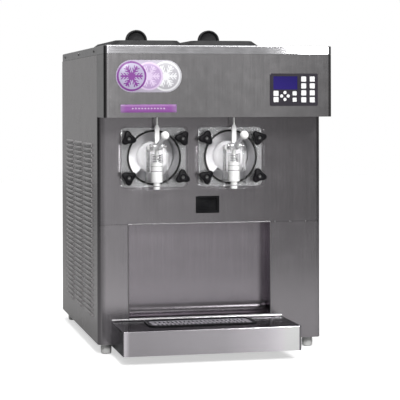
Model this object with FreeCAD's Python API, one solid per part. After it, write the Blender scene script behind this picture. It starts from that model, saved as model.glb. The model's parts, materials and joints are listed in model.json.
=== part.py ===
import FreeCAD, Part
import math
import os

from FreeCAD import Vector

# Twin-barrel countertop frozen dessert and drinks freezer, in millimetres.
# +Z is up, the front faces -Y, and the origin is on the counter, under the middle of the whole machine.

# ---- Driving dimensions ----

# Cabinet
cabinet_width = 667.0
cabinet_depth = 778.0
cabinet_height = 859.0
foot_height = 31.0
sheet = 1.5
corner_radius = 12.0
panel_return = 14.0
panel_gap = 0.5

# Header, top pan and shelf
header_overhang = 119.0
header_height = 204.0
top_lip = 24.0
shelf_reach = 205.0
shelf_height = 69.0
gland_reach = 12.0

# Barrels
barrel_centres = {"left": -170.0, "right": 58.0}
barrel_height = 538.0
barrel_inner_radius = 76.0
barrel_wall = 3.5
barrel_length = 380.0

# Doors
door_width = 195.0
door_height = 181.0
door_thickness = 20.0
stud_offset_x = 79.0
stud_offset_z = 56.0
stud_radius = 5.0

# Spigots, measured from the barrel's own axis and from the cabinet's front
spigot_reach = 47.0
spigot_bore_radius = 17.6
spigot_lift = 16.06
pivot_reach = 68.0
pivot_rise = 34.0
handle_angle = 45.0
ball_radius = 12.0

# Torque arms
torque_offset_x = -15.0
torque_rise = 28.0

# Hoppers
hopper_width = 199.0
hopper_length = 389.0
hopper_depth = 155.0
hopper_corner = 12.0
pan_hole_corner = 4.0
hopper_front = 85.0

# Clearances
running_clearance = 0.08
loose_clearance = 0.3

# ---- Places worked out from them ----
front = (shelf_reach - cabinet_depth - gland_reach) / 2
back = front + cabinet_depth
half_width = cabinet_width / 2
base_z = foot_height
top_z = base_z + cabinet_height
header_front = front - header_overhang
header_z = top_z - header_height
lip_z = top_z - top_lip
panel_top_z = lip_z - panel_gap
seam_z = base_z + 345.0
barrel_z = base_z + barrel_height
barrel_outer_radius = barrel_inner_radius + barrel_wall
side_panel_front = front + panel_return + panel_gap

# Recess behind the cups
recess_left = -245.0
recess_right = 180.0
recess_floor_z = base_z + 72.0
recess_depth = 60.0

# Shelf and tray
shelf_left = -295.0
shelf_right = 215.0
shelf_top_z = base_z + 66.0
tray_left = -200.0
tray_right = 104.0
tray_front = front - 128.0
tray_back = front - 16.0

# Hopper levels
hopper_floor_z = top_z - hopper_depth
hopper_rim = 8.5
feed_y = front + 115.0

# Louvres
louvre_columns = (191.0, 385.0, 577.0)
louvre_width = 164.0
louvre_rows = 35
louvre_pitch = 14.7
louvre_top_z = base_z + 572.0


# ---- Shape helpers ----

def box(x0, x1, y0, y1, z0, z1):
    """Box between two corners."""
    return Part.makeBox(x1 - x0, y1 - y0, z1 - z0, Vector(x0, y0, z0))


def rod_x(y, z, radius, x0, x1):
    """Cylinder along X."""
    return Part.makeCylinder(radius, x1 - x0, Vector(x0, y, z), Vector(1, 0, 0))


def rod_y(x, z, radius, y0, y1):
    """Cylinder along Y."""
    return Part.makeCylinder(radius, y1 - y0, Vector(x, y0, z), Vector(0, 1, 0))


def rod_z(x, y, radius, z0, z1):
    """Cylinder along Z."""
    return Part.makeCylinder(radius, z1 - z0, Vector(x, y, z0), Vector(0, 0, 1))


def polygon_solid(points, travel):
    """Closed flat polygon, pushed along a vector."""
    ring = [Vector(*p) for p in points]
    wire = Part.makePolygon(ring + [ring[0]])
    return Part.Face(wire).extrude(Vector(*travel))


def turned(outline, x, y):
    """Outline of (radius, z) points, turned about a vertical axis at x, y."""
    ring = [Vector(r, 0, z) for r, z in outline]
    face = Part.Face(Part.makePolygon(ring + [ring[0]]))
    solid = face.revolve(Vector(0, 0, 0), Vector(0, 0, 1), 360)
    solid.translate(Vector(x, y, 0))
    return solid


def rounded_block(x0, x1, y0, y1, z0, z1, radius, axis="z"):
    """Box whose four edges along one axis are rounded."""
    block = box(x0, x1, y0, y1, z0, z1)
    direction = {"x": Vector(1, 0, 0), "y": Vector(0, 1, 0), "z": Vector(0, 0, 1)}[axis]
    edges = []
    for edge in block.Edges:
        along = edge.tangentAt(edge.FirstParameter)
        if abs(along.dot(direction)) > 0.99:
            edges.append(edge)
    return block.makeFillet(radius, edges)


def softened(shape, radius, axis, level):
    """The shape with every edge that lies in the plane axis = level rounded."""
    edges = []
    for edge in shape.Edges:
        if all(abs(getattr(v, axis) - level) < 0.01 for v in edge.Vertexes):
            edges.append(edge)
    return shape.makeFillet(radius, edges)


def fuse_all(shapes):
    """One solid from touching or overlapping ones."""
    if len(shapes) == 1:
        return shapes[0]
    return shapes[0].multiFuse(shapes[1:]).removeSplitter()


def cut_all(shape, tools):
    """The shape less every tool."""
    return shape.cut(tools) if tools else shape


def mirrored_x(shape):
    """The same shape on the other side of the cabinet's middle plane."""
    return shape.mirror(Vector(0, 0, 0), Vector(1, 0, 0))


def group(shapes):
    """Separate pieces kept in one node."""
    return Part.makeCompound(shapes)


# ---- Cabinet ----

foot_places = [
    (side * (half_width - 29.5), y)
    for side in (-1, 1)
    for y in (front + 40.0, back - 40.0)
]


def feet():
    """Four rubber feet, each with its stud up through the base."""
    outline = [(0, 0), (12, 0), (15, 3), (16, 20), (13, base_z), (4, base_z), (4, base_z + 10), (0, base_z + 10)]
    return group([turned(outline, x, y) for x, y in foot_places])


frame_outer = half_width - 4.5
frame_front = front + 17.0
frame_back = back - 5.0
frame_gauge = 2.0


def base_pan():
    """Base pan with its four sides turned up and a hole for each foot's stud."""
    height = 20.0
    outer = box(-frame_outer, frame_outer, frame_front, frame_back, base_z, base_z + height)
    inner = box(-frame_outer + frame_gauge, frame_outer - frame_gauge, frame_front + frame_gauge,
                frame_back - frame_gauge, base_z + frame_gauge, base_z + height + 1)
    holes = [rod_z(x, y, 4.2, base_z - 1, base_z + 5) for x, y in foot_places]
    return outer.cut([inner] + holes)


def chassis():
    """Welded frame on the base pan: corner posts, top rails and the deck that carries the gearmotors."""
    angle = 25.0
    foot_z = base_z + 20.0
    parts = []
    for side in (-1, 1):
        edge = sorted((side * frame_outer, side * (frame_outer - frame_gauge)))
        leg = sorted((side * frame_outer, side * (frame_outer - angle)))
        parts.append(box(*edge, frame_front, frame_back, panel_top_z - angle, panel_top_z))
        for y0, y1 in ((frame_front, frame_front + frame_gauge), (frame_back - frame_gauge, frame_back)):
            parts.append(box(*leg, y0, y1, foot_z, panel_top_z))
        for y0, y1 in ((frame_front, frame_front + angle), (frame_back - angle, frame_back)):
            parts.append(box(*edge, y0, y1, foot_z, panel_top_z))
    for y0, y1 in ((frame_front, frame_front + frame_gauge), (frame_back - frame_gauge, frame_back)):
        parts.append(box(-frame_outer, frame_outer, y0, y1, panel_top_z - angle, panel_top_z))
    deck_z = barrel_z - 89.0
    parts.append(box(-frame_outer, frame_outer, front + 400, frame_back, deck_z, deck_z + frame_gauge))
    return fuse_all(parts)


def louvre_hood(width):
    """One pressed louvre about the origin: it stands out along -X, runs along Y and is open below."""
    rise = 4.5
    reach = 4.5
    wall = 1.2
    half = width / 2
    roof = [(0.7, 0, rise), (0, 0, rise), (-reach, 0, -rise), (-reach + wall, 0, -rise), (0.7, 0, rise - 1.6)]
    hood = polygon_solid([(x, -half, z) for x, _, z in roof], (0, width, 0))
    cheek = [(0.7, 0, rise), (0, 0, rise), (-reach, 0, -rise), (0.7, 0, -rise)]
    ends = [
        polygon_solid([(x, y, z) for x, _, z in cheek], (0, wall, 0))
        for y in (-half, half - wall)
    ]
    return fuse_all([hood] + ends)


def louvred_sheet(width, height, columns, rows, pitch, top, louvre):
    """Sheet in the plane X = 0 to sheet, from Y = 0 to width and Z = 0 to height, with pressed louvres."""
    outline = Part.makePolygon([Vector(0, 0, 0), Vector(0, width, 0), Vector(0, width, height),
                                Vector(0, 0, height), Vector(0, 0, 0)])
    wires = [outline]
    hoods = []
    model = louvre_hood(louvre)
    clear = louvre / 2 - 1.2
    for column in columns:
        for row in range(rows):
            z = top - row * pitch
            slot = [(column - clear, z - 4.5), (column + clear, z - 4.5), (column + clear, z + 3.0),
                    (column - clear, z + 3.0), (column - clear, z - 4.5)]
            wires.append(Part.makePolygon([Vector(0, y, h) for y, h in slot]))
            hood = model.copy()
            hood.translate(Vector(0, column, z))
            hoods.append(hood)
    plain = Part.Face(wires, "Part::FaceMakerBullseye").extrude(Vector(sheet, 0, 0))
    return plain.multiFuse(hoods)


def side_panel():
    """Left side panel: three columns of louvres, with a flange behind for the rear panel."""
    width = back - side_panel_front
    height = panel_top_z - base_z
    columns = [front + y - side_panel_front for y in louvre_columns]
    panel = louvred_sheet(width, height, columns, louvre_rows, louvre_pitch, louvre_top_z - base_z, louvre_width)
    panel.translate(Vector(-half_width, side_panel_front, base_z))
    flange = box(-half_width + sheet, -half_width + 16, back - 2 * sheet - 0.3, back - sheet - 0.3,
                 base_z, panel_top_z)
    lip = box(-half_width + sheet - 0.5, -half_width + sheet + 0.3, back - 2 * sheet - 0.3, back - sheet - 0.3,
              base_z, panel_top_z)
    holes = [rod_y(-abs(x), z, 2.3, back - 10, back) for x, z in rear_screw_places]
    return fuse_all([panel, lip, flange]).cut(holes)


gland_place = (230.0, base_z + 84.0)
rear_screw_places = [
    (side * (half_width - 10), z)
    for side in (-1, 1)
    for z in (base_z + 60, base_z + 415, base_z + 775)
]


def rear_panel():
    """Rear panel with two columns of louvres and the hole for the cord gland."""
    margin = sheet + 0.3
    width = cabinet_width - 2 * margin
    height = panel_top_z - base_z
    columns = (width / 2 - 130, width / 2 + 130)
    panel = louvred_sheet(width, height, columns, 24, 14.7, height - 90, 200.0)
    # The sheet is made facing -X, so a quarter turn faces it +Y.
    panel.rotate(Vector(0, 0, 0), Vector(0, 0, 1), -90)
    panel.translate(Vector(-half_width + margin, back, base_z))
    holes = [rod_y(gland_place[0], gland_place[1], 10.2, back - 5, back + 5)]
    holes += [rod_y(x, z, 2.3, back - 5, back + 5) for x, z in rear_screw_places]
    return cut_all(panel, holes)


def wrapped_panel(y_front, depth, z0, z1):
    """Sheet across the whole width whose two ends turn back round a radius."""
    outer = rounded_block(-half_width, half_width, y_front, y_front + depth + 60, z0, z1, corner_radius)
    inner = rounded_block(-half_width + sheet, half_width - sheet, y_front + sheet, y_front + depth + 70,
                          z0 - 1, z1 + 1, corner_radius - sheet)
    rear = box(-half_width - 1, half_width + 1, y_front + depth, y_front + depth + 80, z0 - 1, z1 + 1)
    return outer.cut([inner, rear])


switch_place = (-10.0, base_z + 399.0)
switch_size = (70.0, 50.0)


def front_panel():
    """Upper front panel, round the barrels and the switch."""
    panel = wrapped_panel(front, panel_return, seam_z + 0.3, header_z - 0.3)
    holes = [rod_y(x, barrel_z, barrel_outer_radius + 0.5, front - 5, front + 20)
             for x in barrel_centres.values()]
    x, z = switch_place
    holes.append(box(x - 31, x + 31, front - 5, front + 5, z - 21, z + 21))
    return cut_all(panel, holes)


def lower_front_panel():
    """Lower front panel, open at the recess."""
    panel = wrapped_panel(front, panel_return, base_z, seam_z - 0.3)
    opening = box(recess_left, recess_right, front - 5, front + 10, recess_floor_z, seam_z + 5)
    return panel.cut(opening)


def splash_panel():
    """Recess liner: a back wall that sweeps forward into a floor, with two side walls and a roof."""
    cove = 34.0
    y0 = front + sheet + 0.2
    y1 = front + recess_depth
    z0 = recess_floor_z
    z1 = seam_z - 0.6
    wall = sheet

    def swept(offset):
        """Side profile of the hollow, grown by offset behind and below."""
        yb = y1 + offset
        zb = z0 - offset
        radius = cove + offset
        bend = Part.Arc(Vector(0, yb - radius, zb),
                        Vector(0, yb - radius + radius * math.sin(math.pi / 4),
                               zb + radius - radius * math.cos(math.pi / 4)),
                        Vector(0, yb, zb + radius)).toShape()
        edges = [
            Part.makeLine(Vector(0, y0, zb), Vector(0, yb - radius, zb)),
            bend,
            Part.makeLine(Vector(0, yb, zb + radius), Vector(0, yb, z1 + offset)),
            Part.makeLine(Vector(0, yb, z1 + offset), Vector(0, y0, z1 + offset)),
            Part.makeLine(Vector(0, y0, z1 + offset), Vector(0, y0, zb)),
        ]
        return Part.Face(Part.Wire(edges))

    outer = swept(wall).extrude(Vector(recess_right - recess_left + 2 * wall, 0, 0))
    outer.translate(Vector(recess_left - wall, 0, 0))
    inner = swept(0).extrude(Vector(recess_right - recess_left, 0, 0))
    inner.translate(Vector(recess_left, 0, 0))
    mouth = box(recess_left, recess_right, y0 - 1, y0 + 0.5, z0, z1)
    return outer.cut([inner, mouth])


keypad_x = (147.0, 290.0)
keypad_z = (base_z + 686.5, base_z + 779.5)
lcd_x = (keypad_x[0] + 10.5, keypad_x[0] + 82.0)
lcd_z = (keypad_z[1] - 46.0, keypad_z[1] - 8.0)


def torque_slot(x):
    """Slot in the header's floor that lets a torque arm through."""
    middle = x + 4.0
    return box(middle - 22, middle + 22, front - 42, front - 21, header_z - 5, header_z + 5)


def header_shell():
    """Header front, its two cheeks and its floor, folded from one sheet."""
    depth = header_overhang + panel_return
    shell = wrapped_panel(header_front, depth, header_z, panel_top_z)
    floor = rounded_block(-half_width, half_width, header_front, front + 60, header_z, header_z + sheet,
                          corner_radius)
    rear = box(-half_width - 1, half_width + 1, front + panel_return, front + 70, header_z - 5, header_z + 5)
    shell = fuse_all([shell, floor.cut(rear)])
    holes = [torque_slot(x) for x in barrel_centres.values()]
    holes.append(box(lcd_x[0] - 1.2, lcd_x[1] + 1.2, header_front - 5, header_front + 5,
                     lcd_z[0] - 1.2, lcd_z[1] + 1.2))
    return cut_all(shell, holes)


top_screw_places = [
    (side, y) for side in (-1, 1) for y in (front + 70.0, front + 385.0, front + 700.0)
]
top_screw_z = lip_z + 12.0


def hopper_hole(x, margin, z0, z1, corner=hopper_corner):
    """Block the size of a hopper's outside, grown by a margin all round."""
    return rounded_block(x - hopper_width / 2 - margin, x + hopper_width / 2 + margin,
                         front + hopper_front - margin, front + hopper_front + hopper_length + margin,
                         z0, z1, corner + margin)


def top_pan():
    """Top pan with a lip turned down all round and an opening for each hopper."""
    outer = rounded_block(-half_width, half_width, header_front, back, lip_z, top_z, corner_radius)
    outer = softened(outer, 3.0, "Z", top_z)
    inner = rounded_block(-half_width + sheet, half_width - sheet, header_front + sheet, back - sheet,
                          lip_z - 1, top_z - sheet, corner_radius - sheet)
    holes = [inner]
    holes += [hopper_hole(x, 1.5, top_z - 10, top_z + 5, pan_hole_corner) for x in barrel_centres.values()]
    for side, y in top_screw_places:
        span = sorted((side * (half_width - 5), side * (half_width + 5)))
        holes.append(rod_x(y, top_screw_z, 2.3, *span))
    return cut_all(outer, holes)


def screw(place, direction):
    """Pan-head screw whose head sits on a surface at place and faces direction."""
    shank = Part.makeCylinder(2.2, 3.4, place, direction.negative())
    head = Part.makeCylinder(4.2, 1.2, place, direction)
    crown = Part.makeCone(4.2, 2.4, 1.0, place + direction * 1.2, direction)
    return fuse_all([shank, head, crown])


def panel_screws():
    """Screws of the top pan's lip and of the rear panel."""
    shapes = []
    for side, y in top_screw_places:
        shapes.append(screw(Vector(side * half_width, y, top_screw_z), Vector(side, 0, 0)))
    for x, z in rear_screw_places:
        shapes.append(screw(Vector(x, back, z), Vector(0, 1, 0)))
    return group(shapes)


def cord_gland():
    """Round gland that a supply cord would come through, at the back."""
    x, z = gland_place
    body = rod_y(x, z, 10.0, back - 18, back)
    collar = rod_y(x, z, 14.0, back, back + 4)
    nose = Part.makeCone(12.5, 9.5, gland_reach - 4, Vector(x, back + 4, z), Vector(0, 1, 0))
    bore = rod_y(x, z, 6.0, back - 20, back + gland_reach + 1)
    return fuse_all([body, collar, nose]).cut(bore)


# ---- Shelf and tray ----

def drip_shelf():
    """Folded shelf that stands out under the spigots, open for the tray."""
    y0 = front - shelf_reach
    z0 = shelf_top_z - shelf_height
    outer = rounded_block(shelf_left, shelf_right, y0, front + 20, z0, shelf_top_z, 5.0)
    outer = softened(outer, 2.4, "Z", shelf_top_z)
    outer = outer.cut(box(shelf_left - 1, shelf_right + 1, front, front + 30, z0 - 1, shelf_top_z + 1))
    inner = box(shelf_left + sheet, shelf_right - sheet, y0 + sheet, front - sheet, z0 - 1, shelf_top_z - sheet)
    opening = rounded_block(tray_left, tray_right, tray_front, tray_back, shelf_top_z - 10, shelf_top_z + 5, 20)
    return outer.cut([inner, opening])


def drip_tray():
    """Moulded pan that hangs in the shelf by its rim."""
    gap = 0.6
    rim = 9.0
    depth = 42.0
    outer = rounded_block(tray_left + gap, tray_right - gap, tray_front + gap, tray_back - gap,
                          shelf_top_z - depth, shelf_top_z + 2.5, 19.4)
    brim = rounded_block(tray_left - 6, tray_right + 6, tray_front - 6, tray_back + 6,
                         shelf_top_z, shelf_top_z + 3.5, 26)
    brim = softened(brim, 1.6, "Z", shelf_top_z + 3.5)
    inner = rounded_block(tray_left + rim, tray_right - rim, tray_front + rim, tray_back - rim,
                          shelf_top_z - depth + 3, shelf_top_z + 5, 4)
    seat = rounded_block(tray_left + 5, tray_right - 5, tray_front + 5, tray_back - 5,
                         shelf_top_z - 2.5, shelf_top_z + 5, 15)
    return fuse_all([outer, brim]).cut([inner, seat])


def drip_grid():
    """Slotted grid that lies in the tray's seat."""
    gap = 0.5
    z0 = shelf_top_z - 2.5
    plate = rounded_block(tray_left + 5 + gap, tray_right - 5 - gap, tray_front + 5 + gap, tray_back - 5 - gap,
                          z0, z0 + 3.0, 14.5)
    slots = []
    count = 22
    pitch = (tray_right - tray_left - 36) / count
    middle = (tray_front + tray_back) / 2
    for i in range(count):
        x = tray_left + 18 + (i + 0.5) * pitch
        for side in (-1, 1):
            y = middle + side * 22
            slots.append(rounded_block(x - 3, x + 3, y - 17, y + 17, z0 - 1, z0 + 5, 2.9))
    return plate.cut(slots)


# ---- Hoppers ----

def hopper(x):
    """Mix tank with a rim that lies on the top pan and an outlet down into the barrel."""
    wall = sheet
    outer = hopper_hole(x, 0, hopper_floor_z, top_z + 1)
    rim = hopper_hole(x, hopper_rim, top_z, top_z + 2)
    inner = hopper_hole(x, -wall, hopper_floor_z + wall, top_z + 5)
    outlet = rod_z(x, feed_y, 14.0, barrel_z + barrel_inner_radius + 1.5, hopper_floor_z + 0.5)
    bore = rod_z(x, feed_y, 12.2, barrel_z, hopper_floor_z + wall + 1)
    return fuse_all([outer, rim, outlet]).cut([inner, bore])


def feed_tube(x):
    """Removable tube that meters mix and air from the tank into the barrel."""
    floor = hopper_floor_z + sheet
    tube = rod_z(x, feed_y, 11.8, barrel_z + barrel_outer_radius, hopper_floor_z + 72)
    collar = rod_z(x, feed_y, 17.0, floor, floor + 6)
    bore = rod_z(x, feed_y, 9.0, barrel_z, hopper_floor_z + 80)
    inlet = rod_y(x, floor + 14, 4.0, feed_y - 20, feed_y + 20)
    return fuse_all([tube, collar]).cut([bore, inlet])


cover_margin = 14.0
cover_rise = 22.0
grip_radius = 33.0
grip_top_z = top_z + 61.0
cover_middle_y = front + hopper_front + hopper_length / 2


def rounded_ring(x, margin, z, radius):
    """Closed wire round a hopper at a level, grown by a margin."""
    x0 = x - hopper_width / 2 - margin
    x1 = x + hopper_width / 2 + margin
    y0 = front + hopper_front - margin
    y1 = front + hopper_front + hopper_length + margin
    diagonal = radius * (1 - math.sqrt(0.5))
    corners = [
        ((x1 - radius, y0), (x1 - diagonal, y0 + diagonal), (x1, y0 + radius)),
        ((x1, y1 - radius), (x1 - diagonal, y1 - diagonal), (x1 - radius, y1)),
        ((x0 + radius, y1), (x0 + diagonal, y1 - diagonal), (x0, y1 - radius)),
        ((x0, y0 + radius), (x0 + diagonal, y0 + diagonal), (x0 + radius, y0)),
    ]
    edges = []
    for i, (start, middle, end) in enumerate(corners):
        edges.append(Part.Arc(Vector(*start, z), Vector(*middle, z), Vector(*end, z)).toShape())
        following = corners[(i + 1) % 4][0]
        edges.append(Part.makeLine(Vector(*end, z), Vector(*following, z)))
    return Part.Wire(edges)


def hopper_cover(x):
    """Moulded lid with sloping sides, a ledge that sits on the tank's rim and an arched grip."""
    skirt_z = top_z + 0.5
    knee_z = top_z + 8.0
    crown_z = top_z + cover_rise
    skirt = hopper_hole(x, cover_margin, skirt_z, knee_z, 22.0)
    crown = Part.makeLoft([rounded_ring(x, cover_margin, knee_z, 37), rounded_ring(x, -5, crown_z, 24)], True)
    rim_space = hopper_hole(x, hopper_rim + 1, skirt_z - 1, top_z + 2)
    hollow_low = hopper_hole(x, 0.5, top_z, knee_z)
    hollow_high = Part.makeLoft([rounded_ring(x, 0.5, knee_z, hopper_corner + 0.5), rounded_ring(x, -12, crown_z - 3, 14)],
                                True)
    shell = fuse_all([skirt, crown]).cut([rim_space, hollow_low, hollow_high])
    centre_z = grip_top_z - grip_radius
    disc = rod_y(x, centre_z, grip_radius, cover_middle_y - 10, cover_middle_y + 10)
    stem = box(x - grip_radius, x + grip_radius, cover_middle_y - 10, cover_middle_y + 10, crown_z - 0.5, centre_z)
    below = box(x - 40, x + 40, cover_middle_y - 20, cover_middle_y + 20, crown_z - 60, crown_z - 0.5)
    grip = fuse_all([disc.cut(below), stem])
    hollows = []
    for y0 in (cover_middle_y - 11, cover_middle_y + 3):
        face = rod_y(x, centre_z, grip_radius - 6, y0, y0 + 8)
        hollows.append(face.cut(below))
    return fuse_all([shell, grip.cut(hollows)])


# ---- Barrels ----

def freezing_cylinder(x):
    """Barrel with its front flange, four welded studs and rear wall."""
    r = barrel_inner_radius
    flange = rounded_block(x - 94, x + 94, front - 4, front, barrel_z - 86, barrel_z + 86, 12, "y")
    tube = rod_y(x, barrel_z, barrel_outer_radius, front - 4, front + barrel_length)
    studs = [
        rod_y(x + sx * stud_offset_x, barrel_z + sz * stud_offset_z, stud_radius, front - 38, front - 3)
        for sx in (-1, 1) for sz in (-1, 1)
    ]
    bore = rod_y(x, barrel_z, r, front - 10, front + barrel_length - 5)
    shaft_hole = rod_y(x, barrel_z, 13.0 + loose_clearance, front + barrel_length - 10, front + barrel_length + 5)
    inlet = rod_z(x, feed_y, 14.2, barrel_z, barrel_z + 100)
    return fuse_all([flange, tube] + studs).cut([bore, shaft_hole, inlet])


def barrel_insulation():
    """Foam jackets round the two barrels."""
    shapes = []
    for x in barrel_centres.values():
        jacket = rod_y(x, barrel_z, 106.0, front + sheet + 0.5, front + barrel_length)
        bore = rod_y(x, barrel_z, barrel_outer_radius + 0.3, front - 5, front + barrel_length + 5)
        outlet = rod_z(x, feed_y, 14.3, barrel_z, barrel_z + 120)
        shapes.append(jacket.cut([bore, outlet]))
    return group(shapes)


auger_core_radius = 45.0
auger_flight_radius = 74.0
auger_start = front + 20.0
auger_end = front + 362.0
auger_pitch = 108.0
auger_first_angle = 225.0


def auger(x):
    """Drum with a right-hand scraping flight and the shaft that drives it."""
    length = auger_end - auger_start
    core = Part.makeCylinder(auger_core_radius, length)
    nose = Part.makeCone(auger_core_radius - 8, auger_core_radius, 5.0, Vector(0, 0, -5))
    thickness = 8.0
    run = length - thickness - 4
    helix = Part.makeHelix(auger_pitch, run, auger_core_radius - 2)
    inner = auger_core_radius - 2
    z0 = 1.0
    section = Part.makePolygon([Vector(inner, 0, z0), Vector(auger_flight_radius, 0, z0),
                                Vector(auger_flight_radius, 0, z0 + thickness), Vector(inner, 0, z0 + thickness),
                                Vector(inner, 0, z0)])
    flight = Part.Wire(helix).makePipeShell([section], True, True)
    shaft = Part.makeCylinder(13.0, front + barrel_length + 28 - auger_end, Vector(0, 0, length))
    body = fuse_all([core, nose, shaft, flight])
    # The model stands on Z; a quarter turn about X lays its +Z along +Y.
    body.rotate(Vector(0, 0, 0), Vector(1, 0, 0), -90)
    body.rotate(Vector(0, 0, 0), Vector(0, 1, 0), -auger_first_angle)
    body.translate(Vector(x, auger_start, barrel_z))
    return body


def gearmotors():
    """Two gearmotors on the deck, one behind each barrel."""
    shapes = []
    for x in barrel_centres.values():
        y0 = front + barrel_length + 20
        deck = barrel_z - 87.0
        case = rounded_block(x - 52, x + 52, y0 + 2, y0 + 112, deck, barrel_z + 62, 8, "y")
        motor = rod_y(x, barrel_z, 58.0, y0 + 110, y0 + 300)
        cap = rod_y(x, barrel_z, 50.0, y0 + 298, y0 + 312)
        socket = rod_y(x, barrel_z, 13.0 + loose_clearance, y0, y0 + 12)
        shapes.append(fuse_all([case, motor, cap]).cut(socket))
    return group(shapes)


# ---- Doors and spigots ----

housing_half = 31.0
housing_front = front - 77.0
housing_top = 17.0
housing_bottom = -90.0
spigot_y = front - spigot_reach
pivot_y = front - pivot_reach


def front_door(x):
    """Clear door: plate, spigot housing with its bore and outlet, ears for the handle's pin."""
    back_face = front - 5.0
    front_face = back_face - door_thickness
    z = barrel_z
    plate = rounded_block(x - door_width / 2, x + door_width / 2, front_face, back_face,
                          z - door_height / 2, z + door_height / 2, 14, "y")
    plate = softened(plate, 2.5, "Y", front_face)
    housing = rounded_block(x - housing_half, x + housing_half, housing_front, front_face + 20,
                            z + housing_bottom, z + housing_top, 14)
    housing = softened(softened(housing, 2.0, "Z", z + housing_top), 1.5, "Z", z + housing_bottom)
    housing = housing.cut(box(x - 50, x + 50, front_face + 0.5, front_face + 30, z - 120, z + 50))
    ears = []
    for side in (-1, 1):
        span = sorted((x + side * 14.3, x + side * 20.3))
        ear = rod_x(pivot_y, z + pivot_rise, 8.0, *span)
        root = box(*span, pivot_y - 8, pivot_y + 8, z + housing_top - 1, z + pivot_rise)
        ears += [ear, root]
    solid = fuse_all([plate, housing] + ears)
    groove = rod_y(x, z, 80.0, back_face - 3, back_face + 1).cut(rod_y(x, z, 74.0, back_face - 5, back_face + 2))
    tools = [groove]
    tools.append(rod_z(x, spigot_y, spigot_bore_radius, z - 70, z + 12))
    tools.append(rod_z(x, spigot_y, 10.0, z - 95, z - 65))
    tools.append(rod_z(x, spigot_y, 6.3, z + 5, z + 25))
    tools.append(rod_y(x, z - 62, 6.5, spigot_y, back_face + 5))
    tools.append(rod_y(x + torque_offset_x, z + torque_rise, 4.0 + running_clearance, front_face - 5, back_face + 5))
    tools.append(rod_x(pivot_y, z + pivot_rise, 4.02, x - 30, x + 30))
    for sx in (-1, 1):
        for sz in (-1, 1):
            tools.append(rod_y(x + sx * stud_offset_x, z + sz * stud_offset_z, stud_radius + 0.3,
                               front_face - 5, back_face + 5))
    return solid.cut(tools)


def door_gaskets():
    """Sealing rings pressed between the doors and the barrels' flanges."""
    shapes = []
    for x in barrel_centres.values():
        ring = rod_y(x, barrel_z, 79.8, front - 8, front - 4)
        shapes.append(ring.cut(rod_y(x, barrel_z, 74.2, front - 10, front)))
    return group(shapes)


def spigot_pins():
    """Hinge pins of the two handles, with a head at one end."""
    shapes = []
    for x in barrel_centres.values():
        z = barrel_z + pivot_rise
        pin = rod_x(pivot_y, z, 4.0, x - 22.5, x + 23.5)
        head = rod_x(pivot_y, z, 5.8, x - 24.5, x - 20.4)
        shapes.append(fuse_all([pin, head]))
    return group(shapes)


def spigot_plunger(x):
    """White plunger: sealing nose, body, stem and the disc that the handle lifts."""
    z = barrel_z
    outline = [(0, z - 90), (9.0, z - 90), (9.6, z - 76), (9.6, z - 69.4), (17.3, z - 69.4), (17.3, z - 14),
               (6.0, z - 14), (6.0, z + 30.3), (9.0, z + 30.3), (9.0, z + 34), (7.5, z + 35.5), (0, z + 35.5)]
    return turned(outline, x, spigot_y)


def spigot_spring(x):
    """Closing spring between the plunger's body and the housing's roof."""
    z0 = barrel_z - 13.0
    height = 22.0
    wire = 1.1
    helix = Part.makeHelix(height / 4.5, height, 11.5)
    start = Vector(11.5, 0, 0)
    section = Part.Wire(Part.makeCircle(wire, start, Vector(0, 1, 0)))
    coil = Part.Wire(helix).makePipeShell([section], True, True)
    coil.translate(Vector(x, spigot_y, z0 + 0.6))
    return coil


toe_back = 19.4
toe_drop = 8.0
toe_radius = 4.0
ball_reach = 102.0
ball_rise = 33.0


def spigot_handle(x):
    """Lever: a boss on the pin, two toes under the plunger's disc and a tapered rod to the ball."""
    z = barrel_z + pivot_rise
    boss = rod_x(pivot_y, z, 8.0, x - 13.9, x + 13.9)
    parts = [boss]
    for side in (-1, 1):
        span = sorted((x + side * 7.2, x + side * 12.2))
        bar = box(*span, pivot_y, pivot_y + toe_back, z - toe_drop - toe_radius, z - toe_drop + toe_radius)
        toe = rod_x(pivot_y + toe_back, z - toe_drop, toe_radius, *span)
        parts += [bar, toe]
    length = math.hypot(ball_reach, ball_rise)
    along = Vector(0, -ball_reach / length, ball_rise / length)
    pivot = Vector(x, pivot_y, z)
    parts.append(Part.makeCone(7.6, 5.2, length - ball_radius + 1, pivot, along))
    parts.append(Part.makeCylinder(3.5, 8.0, pivot + along * (length - ball_radius), along))
    hole = rod_x(pivot_y, z, 4.0 + running_clearance, x - 20, x + 20)
    return fuse_all(parts).cut(hole)


def handle_ball(x, handle):
    """Ball knob on the handle's end."""
    ball = Part.makeSphere(ball_radius, Vector(x, pivot_y - ball_reach, barrel_z + pivot_rise + ball_rise))
    return ball.cut(handle)


knob_turns = {"left": (12.0, -35.0, 60.0, 4.0), "right": (40.0, -20.0, 15.0, -50.0)}
knob_names = ("upper_outer", "upper_inner", "lower_outer", "lower_inner")


def knob_places(side):
    """Name, place and turn of the four knobs of a door."""
    x = barrel_centres[side]
    out = -1 if side == "left" else 1
    corners = [(out, 1), (-out, 1), (out, -1), (-out, -1)]
    return [
        (name, x + sx * stud_offset_x, barrel_z + sz * stud_offset_z, turn)
        for name, (sx, sz), turn in zip(knob_names, corners, knob_turns[side])
    ]


def door_knob(x, z, turn):
    """Three-lobed hand nut, blind at the front."""
    y1 = front - 25.3
    y0 = y1 - 17.0
    parts = [rod_y(x, z, 14.8, y0, y1), rod_y(x, z, 10.5, y0 - 3, y0 + 1)]
    for i in range(3):
        angle = math.radians(turn + 120 * i + 90)
        lobe = (x + 13.6 * math.cos(angle), z + 13.6 * math.sin(angle))
        parts.append(rod_y(*lobe, 9.5, y0 + 1, y1 - 2))
    bore = rod_y(x, z, stud_radius + running_clearance, y1 - 13.5, y1 + 1)
    return fuse_all(parts).cut(bore)


# ---- Torque sensing ----

arm_y = (front - 36.0, front - 27.5)


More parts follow.
